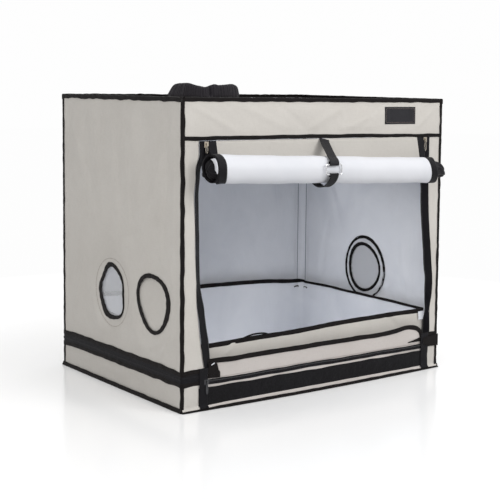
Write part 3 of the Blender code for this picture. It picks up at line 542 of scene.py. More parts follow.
FINISHES = {
    # Polyurethane-coated polyester: matt and warm grey, with faint mottling from the coating
    "cover": COATED,
    # The base is cut from another piece of the same cloth, a touch pinker in the photograph
    "base": replace(COATED, name="coated polyester, base", colour="d2ccc8", shade="c1b9b4"),
    # Painted shade: the door's cloth above the roll hangs in the header's shade, which is painted in as this darker
    # copy of the cover's colour
    "door": replace(COATED, name="coated polyester, door, painted shade", colour="c7c3bd", shade="b7b3ac"),
    # Laminated reflective film: silver white, slightly glossy
    "lining": LiningFilm("reflective lining film", "eff1f6", "dfe2e9"),
    # The same film where it is wound outwards on the door: clean and stretched, and greyer than the lining elsewhere, a
    # painted shade that tones down the strong light on the roll
    "lining_roll": LiningFilm("reflective lining film, door, painted shade", "e2e3e8", "d8dae0", roughness=0.5, crease=0.8 * MM),
    # Black floor cloth under the tent
    "floor": WovenCloth("black coated floor cloth", "1c1a1a", "131212", "floor_cloth", 0.72, specular=0.2),
    # Polyester binding tape: fine ribs, black with a brown cast where light catches the fibres
    "tape": WovenCloth("black polyester binding tape", "191515", "0e0c0c", "black_tape", 0.7, 1.4 * MM, 0.12 * MM,
                       False, sheen=0.04, crumple=0.7 * MM, crumple_size=14 * MM, specular=0.1),
    # Zip tape: smoother and a little bluer than the binding
    "zip_tape": WovenCloth("black zip tape", "151418", "0c0b0e", "black_tape", 0.6, 1.3 * MM, 0.08 * MM,
                           sheen=0.04, crumple=0.6 * MM, crumple_size=16 * MM, specular=0.12),
    # Polypropylene webbing: coarse ribs across the strap
    "webbing": WovenCloth("black polypropylene webbing", "1e1c20", "0e0d10", "black_webbing", 0.6, 2.4 * MM, 0.3 * MM,
                          False, sheen=0.05, specular=0.16),
    # Loop fastener: fuzzy and deep black with soft streaks
    "loops": WovenCloth("black loop fastener", "18171b", "0d0c0e", "black_webbing", 0.85, 2.0 * MM, 0.2 * MM,
                        sheen=0.08, crumple=1.2 * MM, crumple_size=9 * MM, specular=0.15, slub=0.6),
    # Sleeve cloth: light ribbed polyester
    "sleeve": WovenCloth("black sleeve cloth", "29262b", "151317", "black_webbing", 0.66, 3.4 * MM, 0.35 * MM,
                         False, sheen=0.06, crumple=0.7 * MM, crumple_size=12 * MM, specular=0.14),
    # Woven damask patch, left plain
    "patch": WovenCloth("black woven patch", "28272b", "1a191d", "black_webbing", 0.6, relief=0.1 * MM, sheen=0.04,
                        specular=0.2),
    # Insect net of white polyester threads
    "net": WovenCloth("white net thread", "e8e9ec", "d2d4d9", "insect_net", 0.6, mottle=0.3),
    # Polyester sewing thread, darker and a little redder than the cloth it holds
    "thread": WovenCloth("grey sewing thread", "97877f", "8a7c75", thread=0.8 * MM),
    # Rows of stitching in the lining: a dull blue grey, dark enough that they also paint the shade lines where the pole
    # casings meet the walls
    "seam": WovenCloth("blue-grey seam thread and painted shade lines", "7c828f", "6e747f", thread=0.8 * MM),
    # Powder-coated steel tube: white with a fine orange peel
    "steel": HardFinish("white powder-coated steel", "e3e4e8", "d9dade", roughness=0.36, coat=0.1),
    # Injection-moulded nylon: white, faintly satin
    "plastic": HardFinish("white moulded nylon", "ececea", "e2e2df", roughness=0.42),
    # Die-cast zinc with a warm nickel plating, dulled in spots
    "zinc": HardFinish("nickel-plated zinc", "b3aa9c", "625a4e", "zinc", 0.28, metallic=1.0, spots=2.2 * MM),
    # The base slider is stove-enamelled black, worn on its edges
    "enamel": HardFinish("black enamelled zinc", "26272b", "3b3c40", "zinc", 0.34, spots=2.2 * MM, coat=0.2),
    # Nickel-plated steel wire
    "chrome": HardFinish("nickel-plated wire", "d6d6d8", "9c9c9e", roughness=0.16, metallic=1.0),
    # Nylon zip coil
    "coil": HardFinish("black nylon zip coil", "17171a", "0f0f11", roughness=0.42),
}


class Section:
    """A group of the tent's pieces. All groups share the materials, each made once."""

    made: dict[str, bpy.types.Material] = {}

    @classmethod
    def material(cls, finish: str) -> bpy.types.Material:
        """The material of a finish, made when it is first asked for."""
        if finish not in cls.made:
            cls.made[finish] = FINISHES[finish].make()
        return cls.made[finish]

    def add(
        self,
        name: str,
        patches: Patch | Sequence[Patch],
        finishes: str,
        nodes: str = "",
        body: str = "tent",
        facing: Vector = (),
        thickness: float = 0.0,
        offset: float = -1.0,
        flipped: bool = False,
        **sheet,
    ) -> None:
        """Makes a piece.

        Closed patches are turned outwards by their volume, an open sheet
        towards the direction that it faces, and one that faces no single way
        stays as it is made.

        Args:
            name: Name of the piece.
            patches: Its patches.
            finishes: Its finishes, outer one first for a sheet.
            nodes: CAD nodes that it stands for.
            body: Body that it rides on.
            facing: Direction that an open sheet faces.
            thickness: Thickness that an open sheet is given.
            offset: -1 grows it inwards from the faces, 0 to both sides.
            flipped: True if the faces are turned over.
        """
        turned = Turned.TOWARDS if facing else Turned.AS_MADE if thickness else Turned.BY_VOLUME
        names = finishes.split()
        patches = [patches] if isinstance(patches, Patch) else patches
        piece = make_piece(name, patches, [self.material(finish) for finish in names], turned, facing)
        if flipped:
            piece.data.flip_normals()
        if thickness:
            solid = piece.modifiers.new("cloth thickness", "SOLIDIFY")
            solid.thickness, solid.offset = thickness, offset
            solid.use_even_offset = False
            solid.material_offset = len(names) - 1
        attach(piece, body)
        if nodes:
            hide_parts(*nodes.split())
        log.info("%s rides on %s and stands for %s", name, body, nodes or "nothing")


# Cloth panels


@dataclass(frozen=True)
class Fold:
    """One soft crease of a panel: a ridge or valley along a line.

    Attributes:
        start: Across and up, in metres from the panel's low corner.
        end: Its other end.
        width: Half its width at the foot.
        height: How far it stands out of the panel, or in if negative.
    """

    start: tuple[float, float]
    end: tuple[float, float]
    width: float
    height: float

    def lift(self, across: Array, up: Array) -> Array:
        """Height of the crease: a bell across it that fades along to its ends."""
        line = np.subtract(self.end, self.start)
        length = float(np.hypot(*line))
        along = ((across - self.start[0]) * line[0] + (up - self.start[1]) * line[1]) / length**2
        aside = ((across - self.start[0]) * line[1] - (up - self.start[1]) * line[0]) / length
        inside = np.clip(along, 0, 1)
        beyond = (along - inside) * length
        fade = np.sin(np.clip(0.08 + 0.84 * inside, 0, 1) * pi) ** 0.7
        return self.height * fade * np.exp(-((aside / self.width) ** 2) - (beyond / self.width) ** 2)


def creases(*rows: Vector) -> list[Fold]:
    """Folds from rows of start, end, half width and height, the last two in millimetres."""
    return [Fold(row[:2], row[2:4], row[4] * MM, row[5] * MM) for row in rows]


@dataclass
class Panel:
    """A panel of cloth sewn in along its edges.

    Attributes:
        origin: Its low corner, on the cloth's outer face.
        across: Unit vector along its width.
        width: Width in metres.
        height: Height in metres.
        seed: Seed of its small waves.
        up: Unit vector along its height.
        billow: How far its middle stands out.
        waves: Size of its slow waves.
        folds: Its creases.
        calm: Spots that lie flat, as across, up and radius.
        seams: Heights of the sewn lines across it, where it lies flat.
        edge: Width of the flat border at its seams.
    """

    origin: Vector
    across: Vector
    width: float
    height: float
    seed: int
    up: Vector = UP
    billow: float = 2 * MM
    waves: float = 1.1 * MM
    folds: Sequence[Fold] = ()
    calm: Sequence[tuple[float, float, float]] = ()
    seams: Vector = ()
    edge: float = 14 * MM

    @property
    def out(self) -> Array:
        """Unit vector that its outer face points in."""
        return np.cross(self.across, self.up)

    def lift(self, across: Array, up: Array) -> Array:
        """How far the cloth stands out of its flat plane.

        The sum of one broad billow, six slow waves of random direction and the
        creases, faded to nothing at the seams, plus a small pucker beside them.
        """
        random = np.random.default_rng(self.seed)
        outer = np.minimum.reduce([across, self.width - across, up, self.height - up])
        border = outer
        for seam in self.seams:
            border = np.minimum(border, np.abs(up - seam))
        fade = smooth((border - self.edge) / (3 * self.edge))
        total = self.billow * np.sin(pi * np.clip(across / self.width, 0, 1))
        total = total * np.sin(pi * np.clip(up / self.height, 0, 1))
        for _ in range(6):
            turn, wave, phase = random.uniform(0, pi), random.uniform(0.07, 0.24), random.uniform(0, 6.28)
            run = across * math.cos(turn) + up * math.sin(turn)
            total = total + self.waves * 0.45 * np.sin(run * tau / wave + phase)
        for fold in self.folds:
            total = total + fold.lift(across, up)
        for spot_across, spot_up, radius in self.calm:
            away = np.hypot(across - spot_across, up - spot_up)
            fade = fade * smooth((away - radius) / (0.5 * radius))
        run = across + up
        pucker = np.abs(wander(run, self.seed + 7, 0.034, 0.45 * MM) + 0.3 * MM)
        for seam in self.seams:
            pucker = pucker * smooth((np.abs(up - seam) - 0.022) / 0.02)
        return total * fade + pucker * np.exp(-outer / 0.016) * smooth((outer - 0.006) / 0.009)

    def place(self, across: Array, up: Array, proud: Values = 0.0) -> Array:
        """Points on the slack cloth, standing proud of it by a given amount."""
        off = self.lift(across, up) + proud
        return np.asarray(self.origin, float) + joined(across, up, off) @ np.array([self.across, self.up, self.out])

    def patch(
        self, pitch: float = 5 * MM, low: Values = 0.0, high: Optional[Array] = None, holes: Sequence[Hole] = ()
    ) -> Patch:
        """The panel as a grid.

        Grid points beside a hole's edge are moved onto it, and the faces
        inside it are left out.

        Args:
            pitch: Spacing of the grid.
            low: Start across the panel, at evenly spaced heights.
            high: End across the panel, or None for its full width.
            holes: Holes in the panel.

        Returns:
            The patch, whose rows run up the panel.
        """
        rows, columns = round(self.height / pitch) + 1, round(self.width / pitch) + 1
        up = np.linspace(0, self.height, rows)
        start, end = (
            np.interp(up, np.linspace(0, self.height, np.size(limit)), np.atleast_1d(limit))[:, None]
            for limit in (low, self.width if high is None else high)
        )
        across = start + (end - start) * np.linspace(0, 1, columns)
        up = np.broadcast_to(up[:, None], across.shape)
        kept = np.ones((rows - 1, columns - 1), bool)
        for hole in holes:
            aside, above = across - hole.across, up - hole.up
            away = np.hypot(aside, above)
            edge = hole.edge(np.arctan2(above, aside))
            near = np.where(np.abs(away - edge) < 0.6 * pitch, edge / np.maximum(away, 1e-6), 1.0)
            across, up = hole.across + aside * near, hole.up + above * near
            aside = (across[:-1, :-1] + across[1:, 1:]) / 2 - hole.across
            above = (up[:-1, :-1] + up[1:, 1:]) / 2 - hole.up
            kept &= np.hypot(aside, above) > hole.edge(np.arctan2(above, aside))
        return Patch(self.place(across, up), joined(across, up), kept=kept if holes else None)


def flat_section(width: float, thickness: float, steps: int = 12, squareness: float = 0.35) -> Array:
    """Section of a tape: a superellipse, so flat with rounded edges."""
    angle = full_turn(steps) + pi / steps
    cos, sin = np.cos(angle), np.sin(angle)
    across = np.sign(cos) * np.abs(cos) ** squareness * width / 2
    out = np.sign(sin) * np.abs(sin) ** squareness * thickness / 2
    return joined(across, out)


def swept(
    path: Array,
    across: Vectors,
    out: Vectors,
    section: Array,
    spread: Values = 1.0,
    closed: bool = False,
    finish: int = 0,
) -> Patch:
    """Carries a closed section along a path.

    Each point is the path's plus the section's two distances along the path's
    across and out directions, the first one times the spread.

    Args:
        path: Points of the path.
        across: Direction of the section's width, at each point or everywhere.
        out: Direction of its thickness.
        section: Closed outline, as across and out.
        spread: Factor on the width at each point.
        closed: True if the path's end joins its start.
        finish: Index of the material.

    Returns:
        The patch, capped if the path is open.
    """
    across, out = (np.broadcast_to(way, path.shape)[:, None] for way in (across, out))
    spread = np.broadcast_to(spread, len(path))[:, None, None]
    points = path[:, None] + across * (section[:, :1] * spread) + out * section[:, 1:]
    turn = lengths_along(np.vstack([section, section[:1]]))[:-1]
    cloth = joined(lengths_along(path)[:, None], turn)
    return Patch(points, cloth, finish, wrap_rows=closed, wrap_columns=True, capped=not closed)


def ribbon(path: Array, across: Vectors, width: Values, thickness: float, steps: int = 12) -> Patch:
    """A flat tape along a path, with its own width at each point.

    Args:
        path: Points along the tape's middle.
        across: Unit vector across the tape, at each point or everywhere.
        width: Width at each point.
        thickness: Thickness of the tape.
        steps: Points round its section.

    Returns:
        The swept patch.
    """
    out = unit(np.cross(tangents(path), across))
    return swept(path, across, out, flat_section(1.0, thickness, steps), width)


def stitches(path: Array, out: Array, length: float, gap: float, width: float, height: float) -> Patch:
    """A row of stitches lying on a surface along a path.

    Each stitch is a small six-sided bar, bowed up in its middle. The bars are
    the rows of one patch, and only the faces within each bar are kept.

    Args:
        path: Points of the sewn line, closely spaced.
        out: Outward direction of the surface at each point.
        length: Length of one stitch.
        gap: Gap between stitches.
        width: Width of the thread.
        height: Height of the thread.

    Returns:
        One patch with all of the stitches.
    """
    run = lengths_along(path)
    count = int(run[-1] / (length + gap))
    starts = (np.arange(count) + 0.5) * run[-1] / count - length / 2
    at = (starts[:, None] + np.array([0.0, 0.5, 1.0]) * length).ravel()
    outs = unit(read_at(at, run, np.broadcast_to(out, path.shape)))
    sides = np.cross(unit(read_at(at, run, tangents(path))), outs)
    bow = np.tile([0.15, 1.0, 0.15], count) * height
    turn = full_turn(6)
    ring = joined(np.cos(turn) * width / 2, np.sin(turn) * height / 2)
    points = read_at(at, run, path)[:, None] + sides[:, None] * ring[:, :1]
    points = points + outs[:, None] * (ring[:, 1:] + bow[:, None, None])
    cloth = joined(at[:, None], turn * width)
    kept = np.ones((len(at) - 1, 6), bool)
    kept[2::3] = False
    return Patch(points, cloth, wrap_columns=True, kept=kept)


@dataclass
class EdgeTape:
    """Binding tape folded over the edge where two panels meet.

    Attributes:
        start: One end of the edge, at the sharp corner of the tape's outer faces.
        end: Its other end.
        first: Unit vector from the edge along the first face.
        second: Unit vector from the edge along the second face.
        seed: Seed of its waves.
        first_leg: Width on the first face.
        second_leg: Width on the second face.
        sway: How far it wanders from a straight line.
        thickness: Thickness of the tape.
        rounding: How round its fold is.
        bow: How far its middle stands out.
    """

    start: Vector
    end: Vector
    first: Vector
    second: Vector
    seed: int
    first_leg: float = 8 * MM
    second_leg: float = 8 * MM
    sway: float = 0.5 * MM
    thickness: float = 1.2 * MM
    rounding: float = 2.0 * MM
    bow: float = 0.0

    def patch(self) -> Patch:
        """The folded tape.

        Its outer face is the hyperbola a * b = rounding^2 / 4 in the distances
        a and b from the edge along the two faces, cut off at the wandering
        leg widths. The inner face is the outer one moved in by the thickness.
        """
        start, end = np.asarray(self.start, float), np.asarray(self.end, float)
        first, second = np.asarray(self.first, float), np.asarray(self.second, float)
        length = float(np.linalg.norm(end - start))
        run = np.linspace(0, length, round(length / 0.004))
        path = start + (end - start) * (run / length)[:, None]
        path = path - second * (self.bow * (1 - (2 * run / length - 1) ** 2))[:, None]
        sway = wander(run, self.seed, 0.075, self.sway)
        bump = np.abs(wander(run, self.seed + 3, 0.05, self.sway))
        path = path + (first - second) * sway[:, None] * 0.3 - (first + second) * bump[:, None] * 0.7
        legs = [
            leg + wander(run, self.seed + place, 0.06, 1.6 * self.sway)
            for place, leg in ((11, self.first_leg), (17, self.second_leg))
        ]
        d = np.sin(np.linspace(-1, 1, 15) * pi / 2)
        reach = np.where(d[None, :] < 0, d[None, :] * legs[0][:, None], d[None, :] * legs[1][:, None])
        root = np.sqrt(reach**2 + self.rounding**2)
        a, b = (root - reach) / 2, (root + reach) / 2
        inner_a = a + self.thickness * b / (a + b)
        inner_b = b + self.thickness * a / (a + b)
        ends = 0.4 * MM * np.array([[0, 1], [1, 0]])
        a, b = (
            np.hstack([outer, (outer + inner)[:, -1:] / 2 + far, inner[:, ::-1], (outer + inner)[:, :1] / 2 + near])
            for outer, inner, (far, near) in ((a, inner_a, ends[0]), (b, inner_b, ends[1]))
        )
        points = path[:, None, :] + a[..., None] * first + b[..., None] * second
        around = np.concatenate([d, [1], d[::-1], [-1]]) * self.first_leg
        return Patch(points, joined(run[:, None], around), wrap_columns=True, capped=True)


# Sub-assemblies


@dataclass
class Cover(Section):
    """The tent's walls, roof and floor, with the tape that binds their edges."""

    cloth_x: float = 398.7 * MM
    cloth_y: float = 283.7 * MM
    tape_x: float = 400.2 * MM
    tape_y: float = 285.2 * MM
    roof_top: float = 703.7 * MM
    wall_low: float = 1.5 * MM
    tape_top: float = 705.2 * MM
    cloth: float = 1.2 * MM
    base_seam: float = 77.5 * MM
    vent_z: float = 230.5 * MM
    left_vent_y: float = 27 * MM
    port_y: float = -164 * MM
    right_vent_y: float = 2 * MM
    duct: tuple[float, float] = (-0.140, 0.0)
    duct_radius: float = 62 * MM
    left: Panel = field(init=False)
    right: Panel = field(init=False)

    # At each corner from the front left on: rise of the top tape, then the upright tape's width
    # on the front or back and on the side, all in millimetres
    at_corners: tuple = ((0.0, 7.4, 7.0), (-0.8, 9.0, 8.0), (6.6, 8.0, 8.0), (4, 8.0, 10.5))

    # Angles of the rings run from +Y towards +Z
    left_vent_ring: Ring = Ring(
        Wavy(60 * MM, ((2, 4.3, 85), (3, 2.5, -15), (5, 2.2, 6), (1, 1.3, -177))),
        Wavy(11 * MM, ((1, 4.3, -6), (2, 1.9, -57), (3, 1.2, -53), (6, 1.0, 6))),
    )
    port_ring: Ring = Ring(
        Wavy(65.5 * MM, ((3, 3.5, 29), (2, 2.4, 38), (1, 2.0, 59))),
        Wavy(12 * MM, ((2, 2.2, -10), (1, 1.6, 172), (3, 1.2, -55))),
    )
    right_vent_ring: Ring = Ring(
        Wavy(63.3 * MM, ((2, 2.0, 79), (3, 1.9, -59), (1, 1.7, -81))),
        Wavy(9.2 * MM, ((1, 1.3, 27), (4, 0.5, 42))),
    )
    right_vent_edge: Ring = Ring(
        Wavy(81.8 * MM, ((2, 2.9, 83), (1, 2.3, -128), (3, 1.2, -46))),
        Wavy(7.5 * MM, ((1, 1.8, 97), (2, 1.3, -30), (3, 0.5, -45))),
    )

    def upright(self, origin: Vector, across: Vector, width: float, seed: int, **looks) -> Panel:
        """A wall from the floor to the roof, sewn to its base at the zip band."""
        seams = (self.base_seam - self.wall_low,)
        height = self.roof_top - self.wall_low - self.cloth
        return Panel((*origin, self.wall_low), across, width, height, seed, seams=seams, **looks)

    def __post_init__(self) -> None:
        """Lays out the two side panels, which the vents are sewn to."""
        x, y, up = self.cloth_x, self.cloth_y, self.vent_z - self.wall_low
        depth, flat = 2 * y, 0.074
        # The first seven are measured from the wall's front edge, the others from its back edge
        left = [(depth - a, b, depth - c, *rest) for a, b, c, *rest in (
            (0.040, 0.13, 0.030, 0.62, 8, 3.4), (0.075, 0.34, 0.060, 0.69, 10, -3.0),
            (0.150, 0.43, 0.020, 0.68, 12, 2.6), (0.020, 0.20, 0.095, 0.100, 9, 3.2),
            (0.030, 0.16, 0.150, 0.105, 7, -2.4), (0.260, 0.68, 0.215, 0.34, 14, 2.6),
            (0.300, 0.64, 0.255, 0.40, 12, -2.0),
        )]
        left += [
            (0.06, 0.62, 0.20, 0.36, 16, 2.6), (0.03, 0.10, 0.13, 0.32, 12, 2.4), (0.30, 0.36, 0.50, 0.42, 12, -2.0),
        ]
        calm = ((y - self.port_y, up, flat), (y - self.left_vent_y, up, flat))
        self.left = self.upright((-x, y), (0, -1, 0), depth, 11, billow=4.5 * MM, waves=1.7 * MM,
                                 folds=creases(*left), calm=calm)
        right = creases(
            (0.05, 0.63, 0.20, 0.40, 14, 3.0), (0.52, 0.62, 0.38, 0.38, 14, -3.4), (0.46, 0.50, 0.36, 0.24, 12, 2.8),
            (0.10, 0.12, 0.15, 0.34, 12, -2.6), (0.48, 0.16, 0.44, 0.40, 10, 2.6), (0.20, 0.52, 0.40, 0.46, 14, 2.4),
            (0.14, 0.40, 0.24, 0.58, 10, -2.2),
        )
        calm = ((y + self.right_vent_y, up, flat),)
        self.right = self.upright((x, -y), (0, 1, 0), depth, 23, billow=4.0 * MM, folds=right, calm=calm)

    def build(self) -> None:
        """Builds the panels and their bindings."""
        up = self.vent_z - self.wall_low
        self.wall("left_wall", self.left, [
            Hole(self.cloth_y - y, up, lambda angle, ring=ring: ring.hole(pi - angle))
            for y, ring in ((self.port_y, self.port_ring), (self.left_vent_y, self.left_vent_ring))
        ])
        self.wall("right_wall", self.right, [Hole(self.cloth_y + self.right_vent_y, up, self.right_vent_ring.hole)])
        self.build_back_and_roof()
        self.build_bindings()
        self.build_side_band()
        self.build_casings()

    def build_casings(self) -> None:
        """Strips of lining sewn over the two back poles, from the back wall to the side wall."""
        section = curve_through(
            ((0.3700, 0.2816), (0.3765, 0.2800), (0.3795, 0.2740), (0.3830, 0.2672), (0.3890, 0.2640),
             (0.3940, 0.2620), (0.3966, 0.2560)), 26,
        )
        run = lengths_along(section)
        low, high = 0.050, 0.655
        up = np.linspace(low, high, 90)[:, None]
        for side, name in ((-1, "left"), (1, "right")):
            into_corner = (-side, -1.0, 0.0)
            crease = wander(up + 0.4 * run, 191 + side, 0.11, 0.7 * MM) * np.sin(pi * run / run[-1])
            x, y = (section.T[:, None] - 0.6 * np.abs(crease))
            points = joined(side * x, y, up)
            self.add(f"pole_casing_{name}", Patch(points, joined(run, up)), "lining", facing=into_corner,
                     thickness=0.6 * MM, flat=(float(run[-1]), high - low), held="stretched")
            # Its two rows of stitching, a few millimetres in from both edges; their dark thread also paints the shade
            # lines where the casing meets the walls
            rows = [
                ribbon(points[:, place] + np.array(into_corner) * 0.5 * MM,
                       unit(points[:, place + 1] - points[:, place]), 1.5 * MM, 0.5 * MM)
                for place in (5, 21)
            ]
            self.add(f"pole_casing_seams_and_painted_shade_{name}", rows, "seam")

    def wall(self, name: str, panel: Panel, holes: Sequence[Hole] = (), node: str = "") -> None:
        """Builds one panel with the lining on its inner side.

        Args:
            name: First part of the piece's name.
            panel: The panel.
            holes: Its holes.
            node: CAD node that it stands for, if its name isn't the piece's own.
        """
        self.add(f"{name}_cloth", panel.patch(holes=holes), "cover lining", node or name, facing=tuple(panel.out),
                 thickness=self.cloth, flat=(panel.width, panel.height), held="stretched")

    def build_back_and_roof(self) -> None:
        """The back wall, the roof with the hole for its duct sleeve, and the black floor cloth."""
        x, y = self.cloth_x, self.cloth_y
        back = creases(
            (0.05, 0.56, 0.20, 0.34, 14, 3.4), (0.10, 0.36, 0.30, 0.30, 12, -2.6), (0.74, 0.62, 0.55, 0.40, 16, -3.4),
            (0.30, 0.60, 0.36, 0.30, 14, -2.8), (0.44, 0.55, 0.28, 0.36, 12, 2.6), (0.50, 0.60, 0.46, 0.24, 14, 3.0),
            (0.66, 0.16, 0.58, 0.36, 14, 2.8), (0.14, 0.14, 0.22, 0.34, 14, -2.6),
        )
        self.wall("back_wall", self.upright((x, y), (-1, 0, 0), 2 * x, 31, billow=5 * MM, waves=1.5 * MM, folds=back))
        centre = (self.duct[0] + x, self.duct[1] + y)
        roof = Panel((-x, -y, self.roof_top - 3.0 * MM), ACROSS, 2 * x, 2 * y, 41, up=(0, 1, 0), billow=0.3 * MM,
                     waves=0.4 * MM, calm=((*centre, self.duct_radius + 0.01),),
                     folds=creases((0.45, 0.10, 0.70, 0.24, 20, -0.6), (0.50, 0.48, 0.72, 0.36, 22, 0.8)))
        self.wall("roof", roof, [Hole(*centre, Wavy(self.duct_radius - 1 * MM).at)], "roof_panel")
        floor = Panel((-x, -y, 1.1 * MM), ACROSS, 2 * x, 2 * y, 51, up=(0, 1, 0), billow=0.0, waves=0.08 * MM)
        patch = floor.patch(pitch=10 * MM)
        patch.points[..., 2] = np.clip(patch.points[..., 2], 1.0 * MM, 1.3 * MM)
        self.add("floor_cloth", patch, "floor", "floor_sheet", facing=UP, thickness=1.0 * MM, flat=(2 * x, 2 * y),
                 held="laid")

    def build_bindings(self) -> None:
        """Tape over the four upright edges, the four top edges and the four bottom edges."""
        x, y, top, low = self.tape_x, self.tape_y, self.tape_top, 0.2 * MM
        upright, level, base = [], [], []
        places = ((-x, -y), (x, -y), (x, y), (-x, y))
        for order, corner in enumerate(places):
            inward = ((-math.copysign(1, corner[0]), 0, 0), (0, -math.copysign(1, corner[1]), 0))
            rise, *legs = np.array(self.at_corners[order]) * MM
            for group, seed, start, end, sway in (
                (upright, 60, 0.090, top - 2 * MM + rise, 0.7 * MM), (base, 70, low, 0.064, 0.9 * MM)
            ):
                group.append(EdgeTape((*corner, start), (*corner, end), *inward, seed + order, *legs, sway).patch())
        for order, (inward, leg, sway) in enumerate((
            ((0, 1, 0), 9.6, 0.5), ((-1, 0, 0), 12.5, 0.6), ((0, -1, 0), 14.0, 1.5), ((1, 0, 0), 10.5, 0.8)
        )):
            ends = [order, (order + 1) % 4]
            start, end = ((*places[at], top + self.at_corners[at][0] * MM) for at in ends)
            level.append(EdgeTape(start, end, (0, 0, -1), inward, 80 + order, leg * MM, 8 * MM, sway * MM).patch())
            # The bottom tape flares outwards, most in front
            flare, lean, bow = (8.5 * MM, 1.6, 11 * MM) if order == 0 else (5 * MM, 0.45, 1 * MM)
            start, end = ((*(places[at] - flare * np.array(inward[:2])), low) for at in ends)
            leaning = unit(np.array(UP) + np.array(inward) * lean)
            base.append(EdgeTape(start, end, leaning, inward, 90 + order, 10.5 * MM, 11 * MM, 0.3 * MM, 1.4 * MM,
                                 bow=bow).patch())
        for patch in base:
            patch.points[..., 2] = np.maximum(patch.points[..., 2], low)
        self.add("upright_binding", upright, "tape", "upper_binding")
        self.add("top_binding", level, "tape", "upper_binding")
        self.add("bottom_binding", base, "tape", "base_binding")

    def band_path(self) -> tuple[Array, Array]:
        """The path round the sides and back at the cloth's face, and its outward directions."""
        x, y, turn, end = self.cloth_x, self.cloth_y, 3 * MM, 340 * MM
        marks = [
            ((-end, -y), (0, -1)), ((-x + turn, -y), (0, -1)), ((-x, -y + turn), (-1, 0)), ((-x, y - turn), (-1, 0)),
            ((-x + turn, y), (0, 1)), ((x - turn, y), (0, 1)), ((x, y - turn), (1, 0)), ((x, -y + turn), (1, 0)),
            ((x - turn, -y), (0, -1)), ((end, -y), (0, -1)),
        ]
        places, outs = [], []
        for (start, out_a), (stop, out_b) in zip(marks[:-1], marks[1:]):
            steps = max(5, round(math.dist(start, stop) / (4 * MM)))
            share = np.linspace(0, 1, steps, endpoint=False)[:, None]
            way = unit((1 - share) * out_a + share * np.array(out_b))
            straight = start + np.subtract(stop, start) * share
            round_corner = start + (way - out_a) * turn
            places.append(straight if out_a == out_b else round_corner)
            outs.append(way)
        flat = np.concatenate([*places, [marks[-1][0]]])
        out = np.concatenate([*outs, [marks[-1][1]]])
        return np.pad(flat, ((0, 0), (0, 1))), np.pad(out, ((0, 0), (0, 1)))

    def build_side_band(self) -> None:
        """The closed zip that joins the base to the cover, between two hems."""
        flat, out = self.band_path()
        run = lengths_along(flat)
        up = np.array(UP)
        near_corner = 1.2 * MM * bell(run, 0.10, 0.09) * np.sin(run * 95)
        sag = -3.5 * MM * bell(run, 0.635, 0.05)
        dip = -4.5 * MM * bell(run, 0.072, 0.022)
        parts = []
        for seed, middle, width, thick, sway, low in (
            (101, 63.0, 10.0, 3.0, 0.5, 0.0), (107, 91.2, 10.4, 3.4, 0.9, dip)
        ):
            height = middle * MM + wander(run, seed, 0.09, sway * MM) + near_corner + sag + low
            proud = np.abs(wander(run, seed + 2, 0.06, 0.7 * MM)) + 0.6 * MM
            path = flat + up * height[:, None] + out * proud[:, None]
            section = flat_section(width * MM, thick * MM, 14)
            parts.append(swept(path, UP, out, section, 1 + wander(run, seed + 4, 0.05, 0.08)))
        half, slope = 11.5 * MM, np.linspace(-1, 1, 19)
        crest = 1.3 * MM + 1.5 * MM * bell(slope, 0, 0.24) + 0.3 * MM * np.abs(slope)
        section = np.vstack([joined(slope * half, crest), joined(slope[::-1] * half, -0.3 * MM)])
        path = flat + up * (self.base_seam + wander(run, 111, 0.12, 0.4 * MM) + sag)[:, None]
        parts.append(swept(path, UP, out, section, finish=1))
        self.add("side_zip_and_hems", parts, "tape zip_tape", "side_zip_band base_binding upper_binding")


